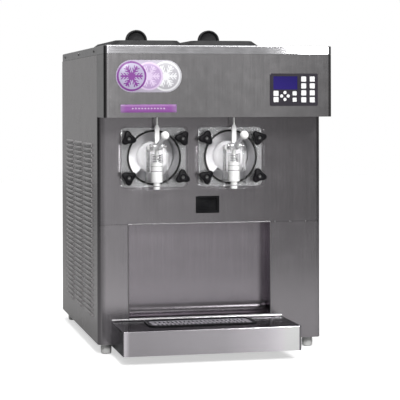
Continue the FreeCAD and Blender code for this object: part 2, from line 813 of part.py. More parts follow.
def torque_arm(x):
    """White arm on the paddle's shaft: a foot, an upright bar and a thin finger up into the header."""
    px = x + torque_offset_x
    pz = barrel_z + torque_rise
    middle = x + 4.0
    half = 6.5
    y0, y1 = arm_y
    parts = [
        rod_y(px, pz, 9.0, y0, y1),
        box(px, middle, y0, y1, pz - half, pz + half),
        rod_y(middle, pz, half, y0, y1),
        box(middle - half, middle + half, y0, y1, pz, barrel_z + 86),
        polygon_solid([(middle - half, y0, barrel_z + 86), (middle + half, y0, barrel_z + 86),
                       (middle + 3, y0, barrel_z + 94), (middle - 3, y0, barrel_z + 94)], (0, y1 - y0, 0)),
        rod_z(middle, (y0 + y1) / 2, 2.4, barrel_z + 90, barrel_z + 138),
    ]
    return fuse_all(parts).cut(rod_y(px, pz, 4.02, y0 - 1, y1 + 1))


def torque_paddle(x):
    """Shaft through the door with a flat blade that hangs in the product."""
    px = x + torque_offset_x
    pz = barrel_z + torque_rise
    shaft = rod_y(px, pz, 4.0, front - 37, front + 9)
    blade = rounded_block(px - 5, px + 5, front + 4, front + 7, pz - 72, pz + 6, 4.5, "y")
    return fuse_all([shaft, blade])


def torque_switches():
    """Two small switches in the header, each beside a torque arm's finger."""
    shapes = []
    for x in barrel_centres.values():
        middle = x + 4.0
        y = (arm_y[0] + arm_y[1]) / 2
        case = box(middle - 46, middle - 24, y - 6, y + 6, header_z + sheet + 4, header_z + sheet + 34)
        bracket = box(middle - 46, middle - 24, y - 9, y + 12, header_z + sheet, header_z + sheet + 4)
        button = rod_x(y, header_z + 20, 2.5, middle - 24.5, middle - 14.8)
        shapes.append(fuse_all([case, bracket, button]))
    return group(shapes)


# ---- Controls ----

key_size = 15.0
side_key_columns = (100.5, 126.2)
side_key_rows = (16.0, 35.6, 55.6, 75.6)
left_key_column = 17.9
left_key_rows = (57.0, 74.6)
arrow_middle = (44.4, 64.6)
arrow_spread = 9.8
arrow_radius = 4.8
small_key_column = 73.2
small_key_rows = (57.0, 75.4)
small_key_size = 12.0


def key_pad(u, v, width, height):
    """Raised square key at a place measured from the keypad's upper left corner."""
    x = keypad_x[0] + u
    z = keypad_z[1] - v
    y1 = header_front - 1.5
    return rounded_block(x - width / 2, x + width / 2, y1 - 0.8, y1 + 0.5, z - height / 2, z + height / 2,
                         2.0, "y")


def keypad():
    """Membrane overlay: one embossed sheet with its keys raised and a window for the display."""
    y1 = header_front
    plate = rounded_block(keypad_x[0], keypad_x[1], y1 - 1.5, y1, keypad_z[0], keypad_z[1], 4, "y")
    keys = [key_pad(u, v, key_size, key_size) for u in side_key_columns for v in side_key_rows]
    keys += [key_pad(left_key_column, v, key_size, key_size) for v in left_key_rows]
    keys += [key_pad(small_key_column, v, small_key_size, small_key_size) for v in small_key_rows]
    for du, dv in ((0, -1), (-1, 0), (1, 0), (0, 1)):
        x = keypad_x[0] + arrow_middle[0] + du * arrow_spread
        z = keypad_z[1] - arrow_middle[1] - dv * arrow_spread
        keys.append(rod_y(x, z, arrow_radius, y1 - 2.3, y1 - 1))
    window = box(lcd_x[0], lcd_x[1], y1 - 5, y1 + 5, lcd_z[0], lcd_z[1])
    return fuse_all([plate] + keys).cut(window)


def lcd_screen():
    """Display module behind the window."""
    lens = box(lcd_x[0] + 0.2, lcd_x[1] - 0.2, header_front - 0.9, header_front + 0.2,
               lcd_z[0] + 0.2, lcd_z[1] - 0.2)
    module = box(lcd_x[0] - 0.8, lcd_x[1] + 0.8, header_front + 0.1, header_front + 9,
                 lcd_z[0] - 0.8, lcd_z[1] + 0.8)
    return fuse_all([lens, module])


def control_box():
    """Open-fronted tray that holds the control board, behind the keypad."""
    x0, x1 = keypad_x
    z0 = header_z + sheet
    z1 = keypad_z[1] + 4
    y0 = header_front + 12
    outer = box(x0 - 6, x1 + 6, y0, y0 + 42, z0, z1)
    inner = box(x0 - 4, x1 + 4, y0 - 1, y0 + 40, z0 + 2, z1 - 2)
    board = box(x0 - 4, x1 + 4, y0 + 22, y0 + 24, z0 + 2, z1 - 2)
    chips = [box(x0 + 15 + 34 * i, x0 + 37 + 34 * i, y0 + 12, y0 + 22, z0 + 25, z0 + 60) for i in range(4)]
    return fuse_all([outer.cut(inner), board] + chips)


rocker_place = (switch_place[0] + 2.0, switch_place[1])
rocker_half = (17.5, 9.5)
rocker_axis_y = front + 6.0
rocker_tilt = 7.0


def switch_bezel():
    """Black surround: a rim on the panel and a tub behind it with a slot for the rocker."""
    x, z = switch_place
    w, h = switch_size
    rim = rounded_block(x - w / 2, x + w / 2, front - 3, front, z - h / 2, z + h / 2, 3, "y")
    rim = softened(rim, 1.2, "Y", front - 3)
    tub = box(x - 30.5, x + 30.5, front - 1, front + 16, z - 20.5, z + 20.5)
    hollow = box(x - 28.5, x + 28.5, front - 5, front + 3.5, z - 18.5, z + 18.5)
    rx, rz = rocker_place
    well = box(rx - rocker_half[0] - 0.8, rx + rocker_half[0] + 0.8, front, front + 14,
               rz - rocker_half[1] - 0.6, rz + rocker_half[1] + 0.6)
    sockets = rod_z(rx, rocker_axis_y, 1.5, rz - 14, rz + 14)
    return fuse_all([rim, tub]).cut([hollow, well, sockets])


def power_rocker():
    """Rocker tipped to its rest side on two short pivots."""
    rx, rz = rocker_place
    hx, hz = rocker_half
    y = rocker_axis_y
    outline = [(-hx, -5.5), (0, -3.0), (hx, -5.5), (hx - 1.5, 1.5), (5, 3), (-5, 3), (-hx + 1.5, 1.5)]
    body = polygon_solid([(rx + dx, y + dy, rz - hz) for dx, dy in outline], (0, 0, 2 * hz))
    pivots = rod_z(rx, y, 1.4, rz - 13.5, rz + 13.5)
    rocker = fuse_all([body, pivots])
    rocker.rotate(Vector(rx, y, rz), Vector(0, 0, 1), -rocker_tilt)
    return rocker


# ---- Refrigeration ----

def compressor():
    """Sealed compressor can with its feet plate and terminal box."""
    x, y = 120.0, front + 520.0
    z = base_z + 16
    outline = [(0, z), (78, z), (88, z + 14), (88, z + 190), (70, z + 222), (30, z + 236), (0, z + 236),
               (0, z + 224), (28, z + 224), (62, z + 213), (78, z + 186), (78, z + 18), (72, z + 10), (0, z + 10)]
    can = turned(outline, x, y)
    plate = box(x - 110, x + 110, y - 70, y + 70, z - 3, z)
    terminals = box(x + 80, x + 115, y - 30, y + 30, z + 60, z + 130)
    terminals = terminals.cut(rod_z(x, y, 84, z + 50, z + 140))
    mounts = [rod_z(x + sx * 95, y + sy * 55, 11, base_z + 2, z - 3) for sx in (-1, 1) for sy in (-1, 1)]
    return fuse_all([can, plate, terminals] + mounts)


condenser_x = (-312.0, -262.0)
condenser_y = (front + 130.0, front + 560.0)
condenser_z = (base_z + 2.0, base_z + 342.0)
fan_place = (front + 345.0, base_z + 172.0)


def condenser():
    """Finned block with its tube rows, standing behind the left louvres."""
    x0, x1 = condenser_x
    y0, y1 = condenser_y
    z0, z1 = condenser_z
    middle = (x0 + x1) / 2
    parts = []
    count = 36
    step = (y1 - y0) / count
    for i in range(count + 1):
        y = y0 + i * step
        parts.append(box(x0, x1, y - 0.6, y + 0.6, z0 + 1, z1 - 1))
    for row in range(8):
        z = z0 + 25 + row * (z1 - z0 - 50) / 7
        parts.append(rod_y(middle, z, 5.0, y0 - 12, y1 + 12))
    for y in (y0 - 12, y1 + 12):
        parts.append(rod_z(middle, y, 6.5, z0 + 16, z1 - 16))
    for edge in (z0, z1 - 3):
        parts.append(box(x0 - 1, x1 + 1, y0 - 2, y1 + 2, edge, edge + 3))
    return parts[0].multiFuse(parts[1:])


def fan_motor():
    """Round shroud on the condenser with the fan's motor on three arms."""
    y, z = fan_place
    x0 = condenser_x[1]
    ring = rod_x(y, z, 160.0, x0, x0 + 44).cut(rod_x(y, z, 152.0, x0 - 1, x0 + 50))
    motor = rod_x(y, z, 36.0, x0 + 46, x0 + 118)
    arms = []
    for i in range(3):
        arm = box(x0 + 46, x0 + 52, y - 6, y + 6, z, z + 158)
        arm.rotate(Vector(x0, y, z), Vector(1, 0, 0), 120 * i)
        arms.append(arm)
    ties = []
    for i in range(3):
        tie = box(x0 + 40, x0 + 52, y - 6, y + 6, z + 153, z + 159)
        tie.rotate(Vector(x0, y, z), Vector(1, 0, 0), 120 * i)
        ties.append(tie)
    bore = rod_x(y, z, 6.3, x0 + 40, x0 + 70)
    return fuse_all([ring, motor] + arms + ties).cut(bore)


def condenser_fan():
    """Five-bladed fan on its shaft."""
    y, z = fan_place
    x0 = condenser_x[1]
    parts = [rod_x(y, z, 28.0, x0 + 10, x0 + 34), rod_x(y, z, 6.0, x0 + 30, x0 + 66)]
    for i in range(5):
        blade = rounded_block(x0 + 20, x0 + 22.5, y - 38, y + 38, z + 22, z + 146, 14, "x")
        blade.rotate(Vector(x0 + 21, y, z), Vector(0, 0, 1), 24)
        blade.rotate(Vector(x0, y, z), Vector(1, 0, 0), 72 * i)
        parts.append(blade)
    return fuse_all(parts)


# ---- Assembly ----

def assembly():
    """Every node's name and shape."""
    left = side_panel()
    nodes = {
        "feet": feet(),
        "base_pan": base_pan(),
        "chassis": chassis(),
        "side_panel_left": left,
        "side_panel_right": mirrored_x(left),
        "rear_panel": rear_panel(),
        "front_panel": front_panel(),
        "lower_front_panel": lower_front_panel(),
        "splash_panel": splash_panel(),
        "header_shell": header_shell(),
        "top_pan": top_pan(),
        "panel_screws": panel_screws(),
        "cord_gland": cord_gland(),
        "drip_shelf": drip_shelf(),
        "drip_tray": drip_tray(),
        "drip_grid": drip_grid(),
        "freezing_cylinders": group([freezing_cylinder(x) for x in barrel_centres.values()]),
        "barrel_insulation": barrel_insulation(),
        "gearmotors": gearmotors(),
        "door_gaskets": door_gaskets(),
        "spigot_pins": spigot_pins(),
        "torque_switches": torque_switches(),
        "feed_tubes": group([feed_tube(x) for x in barrel_centres.values()]),
        "keypad": keypad(),
        "lcd_screen": lcd_screen(),
        "control_box": control_box(),
        "switch_bezel": switch_bezel(),
        "power_rocker": power_rocker(),
        "compressor": compressor(),
        "condenser": condenser(),
        "fan_motor": fan_motor(),
        "condenser_fan": condenser_fan(),
    }
    for side, x in barrel_centres.items():
        handle = spigot_handle(x)
        nodes["hopper_" + side] = hopper(x)
        nodes["hopper_cover_" + side] = hopper_cover(x)
        nodes["auger_" + side] = auger(x)
        nodes["front_door_" + side] = front_door(x)
        nodes["spigot_plunger_" + side] = spigot_plunger(x)
        nodes["spigot_spring_" + side] = spigot_spring(x)
        nodes["spigot_handle_" + side] = handle
        nodes["handle_ball_" + side] = handle_ball(x, handle)
        nodes["torque_arm_" + side] = torque_arm(x)
        nodes["torque_paddle_" + side] = torque_paddle(x)
        for name, kx, kz, turn in knob_places(side):
            nodes["door_knob_%s_%s" % (side, name)] = door_knob(kx, kz, turn)
    return nodes


def main():
    os.makedirs("parts", exist_ok=True)
    for name, shape in assembly().items():
        if not shape.isValid() or shape.Volume <= 0:
            raise ValueError(name + " isn't a sound solid")
        shape.exportStep("parts/%s.step" % name)
        print("%-32s %3d solids %10.1f cm3" % (name, len(shape.Solids), shape.Volume / 1000))


main()
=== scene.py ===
import bmesh
import bpy
import json
import math
import numpy as np
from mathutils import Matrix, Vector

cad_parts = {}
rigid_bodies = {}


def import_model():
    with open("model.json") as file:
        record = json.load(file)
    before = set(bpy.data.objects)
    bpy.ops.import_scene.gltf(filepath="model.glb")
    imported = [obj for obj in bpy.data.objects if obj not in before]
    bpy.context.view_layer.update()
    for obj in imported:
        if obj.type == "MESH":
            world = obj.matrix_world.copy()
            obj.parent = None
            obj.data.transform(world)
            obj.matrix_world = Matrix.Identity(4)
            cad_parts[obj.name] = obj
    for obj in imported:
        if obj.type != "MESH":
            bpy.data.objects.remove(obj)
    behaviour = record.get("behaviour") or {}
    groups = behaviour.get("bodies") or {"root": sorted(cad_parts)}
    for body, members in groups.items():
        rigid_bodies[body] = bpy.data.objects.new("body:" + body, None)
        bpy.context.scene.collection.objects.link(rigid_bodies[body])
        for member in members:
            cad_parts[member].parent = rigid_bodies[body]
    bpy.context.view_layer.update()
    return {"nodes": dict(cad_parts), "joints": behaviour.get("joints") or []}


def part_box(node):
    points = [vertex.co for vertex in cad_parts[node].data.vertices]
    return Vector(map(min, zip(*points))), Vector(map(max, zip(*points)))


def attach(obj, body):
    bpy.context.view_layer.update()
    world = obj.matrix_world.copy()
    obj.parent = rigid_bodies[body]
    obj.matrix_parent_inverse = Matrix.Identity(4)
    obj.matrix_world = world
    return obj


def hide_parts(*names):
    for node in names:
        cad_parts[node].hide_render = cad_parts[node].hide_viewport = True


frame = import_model()

frontLow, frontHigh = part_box("front_panel")
frontY = frontLow.y   # plane of the front panels
halfWidth = frontHigh.x


# camera and lamps

viewer = {
    "place": (-0.9987, frontY - 4.3159, 0.735), "yaw": 12.63, "roll": 0.15,
    "lens": 136.4, "sensor": 36, "shiftY": -0.25,
}

cameraData = bpy.data.cameras.new("viewerLens")
cameraData.lens = viewer["lens"]
cameraData.sensor_width = viewer["sensor"]
cameraData.shift_y = viewer["shiftY"]
cameraObject = bpy.data.objects.new("viewer", cameraData)
cameraObject.location = viewer["place"]
cameraObject.rotation_euler = (math.radians(90), math.radians(viewer["roll"]), -math.radians(viewer["yaw"]))
bpy.context.scene.collection.objects.link(cameraObject)
bpy.context.scene.camera = cameraObject
bpy.context.scene.view_settings.view_transform = "Standard"

studio = {
    "lamps": [  # name, place, aim, size, watts
        ("frontLamp", (-0.5, -4.2, 2.4), (0, -0.3, 0.5), 0.9, 112),
        ("rightLamp", (1.15, -2.9, 2.3), (0.2, -0.4, 0.6), 0.7, 34),
        ("sideLamp", (1.45, -1.9, 0.75), (-0.06, -0.3, 0.57), 0.5, 22),
        ("topLamp", (0.1, -0.4, 4.2), (0, -0.2, 0.0), 3.2, 75),
    ],
    "doorLamp": "sideLamp",
    "backdrop": 1.0,   # brightness seen behind the machine
    "wrap": [  # axis, direction along it, brightness of that side of the room
        ("X", -1, 0.02), ("X", 1, 0.05), ("Y", 1, 0.40), ("Z", 1, 0.80), ("Z", -1, 0.30),
    ],
    "front": (0.08, 0.34, 0.56, 0.14),   # X from, X to, the front's brightness at each
}


def addLamp(name, place, aim, size, watts):
    # a round lamp turned from straight down until it faces its aim
    data = bpy.data.lights.new(name, "AREA")
    data.shape = "DISK"
    data.size = size
    data.energy = watts
    lamp = bpy.data.objects.new(name, data)
    lamp.location = place
    direction = np.array(aim) - np.array(place)
    yaw = math.atan2(direction[0], direction[1])
    tilt = math.atan2(math.hypot(direction[0], direction[1]), -direction[2])
    lamp.rotation_euler = (tilt, 0, -yaw)
    bpy.context.scene.collection.objects.link(lamp)


for lampFacts in studio["lamps"]:
    addLamp(*lampFacts)


# mesh helpers

def makePiece(name, points, faces, body):
    # a smoothly shaded mesh that rides a body
    mesh = bpy.data.meshes.new(name)
    mesh.from_pydata(np.asarray(points, float).tolist(), [], [tuple(face) for face in faces])
    mesh.validate()
    mesh.update()
    mesh.polygons.foreach_set("use_smooth", [True] * len(mesh.polygons))
    piece = bpy.data.objects.new(name, mesh)
    bpy.context.scene.collection.objects.link(piece)
    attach(piece, body)
    return piece


def gridFaces(rows, cols, wrapRows=False, wrapCols=False, flip=False):
    # quads between neighbours of a rows x cols grid, numbered row by row
    r = np.arange(rows if wrapRows else rows - 1)
    c = np.arange(cols if wrapCols else cols - 1)
    rr, cc = np.meshgrid(r, c, indexing="ij")
    r1, c1 = (rr + 1) % rows, (cc + 1) % cols
    quads = np.stack([rr * cols + cc, rr * cols + c1, r1 * cols + c1, r1 * cols + cc], -1).reshape(-1, 4)
    return quads[:, ::-1] if flip else quads


def turnRight(piece):
    # makes every face of a closed piece point outwards
    work = bmesh.new()
    work.from_mesh(piece.data)
    bmesh.ops.remove_doubles(work, verts=work.verts, dist=1e-7)
    bmesh.ops.recalc_face_normals(work, faces=work.faces)
    work.to_mesh(piece.data)
    work.free()


def jointPlace(name):
    return next(joint for joint in frame["joints"] if joint["name"] == name)["pos_m"]


# node helpers: a factor, a colour or a vector may be a number or another node's socket

def addNoise(tree, vector, scale, detail=3.0, rough=0.5):
    noise = tree.nodes.new("ShaderNodeTexNoise")
    noise.inputs["Detail"].default_value = detail
    noise.inputs["Roughness"].default_value = rough
    if isinstance(scale, (int, float)):
        noise.inputs["Scale"].default_value = scale
    else:
        tree.links.new(scale, noise.inputs["Scale"])
    tree.links.new(vector, noise.inputs["Vector"])
    return noise.outputs["Fac"]


def addMath(tree, operation, first, second=0.0, clamp=False):
    node = tree.nodes.new("ShaderNodeMath")
    node.operation = operation
    node.use_clamp = clamp
    for socket, value in zip(node.inputs, (first, second)):
        if isinstance(value, (int, float)):
            socket.default_value = value
        else:
            tree.links.new(value, socket)
    return node.outputs[0]


def addRange(tree, value, low, high, toLow=0.0, toHigh=1.0):
    node = tree.nodes.new("ShaderNodeMapRange")
    for socket, number in zip(("From Min", "From Max", "To Min", "To Max"), (low, high, toLow, toHigh)):
        node.inputs[socket].default_value = number
    tree.links.new(value, node.inputs["Value"])
    return node.outputs["Result"]


def addMix(tree, factor, first, second):
    node = tree.nodes.new("ShaderNodeMix")
    node.data_type = "RGBA"
    sockets = [s for s in node.inputs if s.type == "RGBA"]
    tree.links.new(factor, node.inputs["Factor"])
    for socket, value in zip(sockets, (first, second)):
        if isinstance(value, tuple):
            socket.default_value = (*value, 1)
        else:
            tree.links.new(value, socket)
    return [s for s in node.outputs if s.type == "RGBA"][0]


def addStretch(tree, vector, stretch):
    node = tree.nodes.new("ShaderNodeVectorMath")
    node.operation = "MULTIPLY"
    tree.links.new(vector, node.inputs[0])
    if isinstance(stretch, tuple):
        node.inputs[1].default_value = stretch
    else:
        tree.links.new(stretch, node.inputs[1])
    return node.outputs[0]


def addSplit(tree, vector):
    # the X, Y and Z of a vector
    split = tree.nodes.new("ShaderNodeSeparateXYZ")
    tree.links.new(vector, split.inputs[0])
    return split.outputs


def makeGroup(name, inputs, outputs):
    # inputs and outputs are (name, kind, default) and (name, kind); returns the group and its two end nodes
    group = bpy.data.node_groups.new(name, "ShaderNodeTree")
    for label, kind, default in inputs:
        socket = group.interface.new_socket(name=label, in_out="INPUT", socket_type="NodeSocket" + kind)
        if default is not None:
            socket.default_value = default
    for label, kind in outputs:
        group.interface.new_socket(name=label, in_out="OUTPUT", socket_type="NodeSocket" + kind)
    return group, group.nodes.new("NodeGroupInput"), group.nodes.new("NodeGroupOutput")


def placeGroup(tree, group, vector, **values):
    node = tree.nodes.new("ShaderNodeGroup")
    node.node_tree = group
    tree.links.new(vector, node.inputs["Vector"])
    for label, value in values.items():
        node.inputs[label].default_value = value
    return node


# surroundings

def buildWorld(facts):
    # each side of the room adds its brightness times the square of the ray's direction towards it
    world = bpy.data.worlds.new("studioWorld")
    bpy.context.scene.world = world
    world.use_nodes = True
    tree = world.node_tree
    tree.nodes.clear()
    split = addSplit(tree, tree.nodes.new("ShaderNodeTexCoord").outputs["Generated"])
    fade = addRange(tree, split["X"], *facts["front"])
    total = 0.0
    for axis, sign, brightness in facts["wrap"] + [("Y", -1, fade)]:
        towards = addMath(tree, "MULTIPLY", split[axis], sign, clamp=True)
        share = addMath(tree, "MULTIPLY", addMath(tree, "POWER", towards, 2), brightness)
        total = addMath(tree, "ADD", share, total)
    rays = tree.nodes.new("ShaderNodeLightPath")
    mix = tree.nodes.new("ShaderNodeMix")
    tree.links.new(rays.outputs["Is Camera Ray"], mix.inputs["Factor"])
    tree.links.new(total, mix.inputs["A"])
    mix.inputs["B"].default_value = facts["backdrop"]
    background = tree.nodes.new("ShaderNodeBackground")
    tree.links.new(mix.outputs["Result"], background.inputs["Color"])
    tree.links.new(background.outputs[0], tree.nodes.new("ShaderNodeOutputWorld").inputs[0])


buildWorld(studio)
print("studio ready")


# shared effects of the finishes

def buildGrainGroup():
    # brushed grain: noise squeezed across the brushing direction, a wider band of it, and slow clouds
    group, start, end = makeGroup(
        "brushedGrain",
        [("Vector", "Vector", None), ("Stretch", "Vector", (1, 1, 0.02))],
        [("Grain", "Float"), ("Bands", "Float"), ("Clouds", "Float")],
    )
    long = addStretch(group, start.outputs["Vector"], start.outputs["Stretch"])
    fine = addNoise(group, long, 1900, 3, 0.6)
    bands = addNoise(group, long, 260, 2, 0.5)
    clouds = addNoise(group, start.outputs["Vector"], 3.2, 3, 0.5)
    for value, label in ((fine, "Grain"), (bands, "Bands"), (clouds, "Clouds")):
        group.links.new(value, end.inputs[label])
    return group


def buildWearGroup():
    # handling marks: smudges from soft noise and hair scratches from thin lines of a warped noise
    group, start, end = makeGroup(
        "handlingMarks",
        [("Vector", "Vector", None), ("Amount", "Float", 0.5)],
        [("Smudge", "Float"), ("Scratch", "Float")],
    )
    smudge = addRange(group, addNoise(group, start.outputs["Vector"], 22, 5, 0.65), 0.45, 0.75)
    line = addNoise(group, addStretch(group, start.outputs["Vector"], (40, 37, 9)), 4, 2, 0.5)
    thin = addMath(group, "ABSOLUTE", addMath(group, "SUBTRACT", line, 0.5))
    scratch = addRange(group, thin, 0.0, 0.006, 1.0, 0.0)
    rare = addRange(group, addNoise(group, start.outputs["Vector"], 31, 2, 0.5), 0.55, 0.62)
    scratch = addMath(group, "MULTIPLY", scratch, rare)
    for value, label in ((smudge, "Smudge"), (scratch, "Scratch")):
        group.links.new(addMath(group, "MULTIPLY", value, start.outputs["Amount"]), end.inputs[label])
    return group


def buildMouldGroup():
    # moulded skin: fine orange peel for the height and a slow mottle for colour and gloss
    group, start, end = makeGroup(
        "mouldedSkin",
        [("Vector", "Vector", None), ("Scale", "Float", 900.0)],
        [("Peel", "Float"), ("Mottle", "Float")],
    )
    peel = addNoise(group, start.outputs["Vector"], start.outputs["Scale"], 2, 0.5)
    mottle = addNoise(group, start.outputs["Vector"], 28, 3, 0.55)
    group.links.new(peel, end.inputs["Peel"])
    group.links.new(mottle, end.inputs["Mottle"])
    return group


grainGroup = buildGrainGroup()
wearGroup = buildWearGroup()
mouldGroup = buildMouldGroup()


def newMaterial(name):
    # a material with its shader and the object's own coordinates
    material = bpy.data.materials.new(name)
    material.use_nodes = True
    tree = material.node_tree
    coords = tree.nodes.new("ShaderNodeTexCoord")
    coords.name = "coords"
    return material, tree, tree.nodes["Principled BSDF"], coords.outputs["Object"]


def addBump(tree, shader, height, strength, distance):
    bump = tree.nodes.new("ShaderNodeBump")
    bump.inputs["Strength"].default_value = strength
    bump.inputs["Distance"].default_value = distance
    tree.links.new(height, bump.inputs["Height"])
    tree.links.new(bump.outputs["Normal"], shader.inputs["Normal"])


# kinds of finish

def brushedSteel(name, dark, light, rough, stretch, metallic, wear):
    # grey pulled between two tints by the grain, rougher along the bands and where it has been wiped
    material, tree, shader, vector = newMaterial(name)
    grain = placeGroup(tree, grainGroup, vector, Stretch=stretch)
    marks = placeGroup(tree, wearGroup, vector, Amount=wear)
    tone = addMath(tree, "ADD", addMath(tree, "MULTIPLY", grain.outputs["Grain"], 0.7),
                   addMath(tree, "MULTIPLY", grain.outputs["Bands"], 0.3))
    colour = addMix(tree, addRange(tree, tone, 0.2, 0.8), dark, light)
    cloudy = addMix(tree, addRange(tree, grain.outputs["Clouds"], 0.35, 0.65, 0.0, 0.12), colour, dark)
    marked = addMix(tree, addMath(tree, "MULTIPLY", marks.outputs["Scratch"], 0.12), cloudy, light)
    tree.links.new(marked, shader.inputs["Base Color"])
    gloss = addRange(tree, tone, 0.25, 0.75, rough - 0.03, rough + 0.05)
    gloss = addMath(tree, "ADD", gloss, addMath(tree, "MULTIPLY", marks.outputs["Smudge"], 0.08))
    tree.links.new(gloss, shader.inputs["Roughness"])
    shader.inputs["Metallic"].default_value = metallic
    addBump(tree, shader, grain.outputs["Grain"], 0.10, 0.0001)
    return material


def mouldedPlastic(name, colour, edge, rough, coat, peelScale, peel, gleam):
    # plastic with a slow mottle between two tints, fine peel, smudges and a few hair scratches
    material, tree, shader, vector = newMaterial(name)
    skin = placeGroup(tree, mouldGroup, vector, Scale=peelScale)
    marks = placeGroup(tree, wearGroup, vector, Amount=0.4)
    base = addMix(tree, addRange(tree, skin.outputs["Mottle"], 0.3, 0.7), colour, edge)
    base = addMix(tree, addMath(tree, "MULTIPLY", marks.outputs["Scratch"], 0.5), base, edge)
    tree.links.new(base, shader.inputs["Base Color"])
    gloss = addMath(tree, "ADD", rough, addMath(tree, "MULTIPLY", marks.outputs["Smudge"], 0.18))
    tree.links.new(gloss, shader.inputs["Roughness"])
    shader.inputs["Coat Weight"].default_value = coat
    shader.inputs["Coat Roughness"].default_value = 0.15
    shader.inputs["Specular IOR Level"].default_value = gleam
    addBump(tree, shader, skin.outputs["Peel"], peel, 0.0003)
    return material


def clearPlastic(name, facts):
    # clear moulding: lets light straight through where it is faced squarely and bends it towards its edges
    material, tree, shader, vector = newMaterial(name)
    marks = placeGroup(tree, wearGroup, vector, Amount=0.6)
    mottle = placeGroup(tree, mouldGroup, vector, Scale=140.0).outputs["Mottle"]
    cloudy = tuple(share * 0.94 for share in facts["tint"])
    tint = addMix(tree, addRange(tree, mottle, 0.3, 0.7), facts["tint"], cloudy)
    tree.links.new(tint, shader.inputs["Base Color"])
    gloss = addMath(tree, "ADD", facts["rough"], addMath(tree, "MULTIPLY", marks.outputs["Smudge"], 0.10))
    tree.links.new(gloss, shader.inputs["Roughness"])
    shader.inputs["Metallic"].default_value = 0.0
    shader.inputs["Transmission Weight"].default_value = 1.0
    shader.inputs["IOR"].default_value = facts["bend"]
    slant = tree.nodes.new("ShaderNodeLayerWeight")
    slant.inputs["Blend"].default_value = 0.5
    body = addRange(tree, mottle, 0.2, 0.8, facts["thin"], facts["thin"] + 0.05)
    body = addMath(tree, "ADD", body, addRange(tree, slant.outputs["Facing"], 0.35, 1.0, 0.0, facts["thick"]))
    tree.links.new(addMath(tree, "MINIMUM", body, 1.0), shader.inputs["Alpha"])
    return material


def keypadMembrane(name):
    # white where the surface stands at the raised keys' level, dark charcoal elsewhere
    material, tree, shader, vector = newMaterial(name)
    split = addSplit(tree, vector)
    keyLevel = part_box("keypad")[0].y
    raised = addRange(tree, split["Y"], keyLevel + 0.0003, keyLevel + 0.0005, 1.0, 0.0)
    skin = placeGroup(tree, mouldGroup, vector, Scale=1500.0)
    dark = addMix(tree, skin.outputs["Mottle"], (0.022, 0.019, 0.026), (0.034, 0.030, 0.039))
    white = addMix(tree, skin.outputs["Mottle"], (0.80, 0.80, 0.80), (0.72, 0.72, 0.73))
    tree.links.new(addMix(tree, raised, dark, white), shader.inputs["Base Color"])
    tree.links.new(addRange(tree, skin.outputs["Mottle"], 0.2, 0.8, 0.36, 0.50), shader.inputs["Roughness"])
    shader.inputs["Specular IOR Level"].default_value = 0.2
    addBump(tree, shader, skin.outputs["Peel"], 0.2, 0.0002)
    return material


def displayGlass(name):
    # deep blue panel with a faint raster of cells, glowing a little, lighter towards its lower left
    material, tree, shader, vector = newMaterial(name)
    low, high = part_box("lcd_screen")
    split = addSplit(tree, vector)
    across = addRange(tree, split["X"], low.x, high.x)
    upward = addRange(tree, split["Z"], low.z, high.z)
    rows = addMath(tree, "SINE", addMath(tree, "MULTIPLY", split["Z"], 4200.0))
    columns = addMath(tree, "SINE", addMath(tree, "MULTIPLY", split["X"], 4200.0))
    raster = addRange(tree, addMath(tree, "MULTIPLY", rows, columns), -1.0, 1.0, 0.0, 0.35)
    sideShade, upShade = addMath(tree, "MULTIPLY", across, 0.25), addMath(tree, "MULTIPLY", upward, 0.4)
    shade = addMath(tree, "ADD", sideShade, upShade)
    blue = addMix(tree, addMath(tree, "ADD", shade, raster), (0.020, 0.012, 0.125), (0.009, 0.006, 0.075))
    tree.links.new(blue, shader.inputs["Base Color"])
    tree.links.new(blue, shader.inputs["Emission Color"])
    shader.inputs["Emission Strength"].default_value = 0.35
    skin = placeGroup(tree, mouldGroup, vector, Scale=600.0)
    tree.links.new(addRange(tree, skin.outputs["Mottle"], 0.2, 0.8, 0.08, 0.16), shader.inputs["Roughness"])
    return material


# the machine's own finishes

upright = (1, 1, 0.012)   # brushing along Z
sideways = (0.012, 1, 1)   # along X
lengthways = (1, 0.012, 1)   # along Y
spangled = (0.4, 0.4, 0.4)

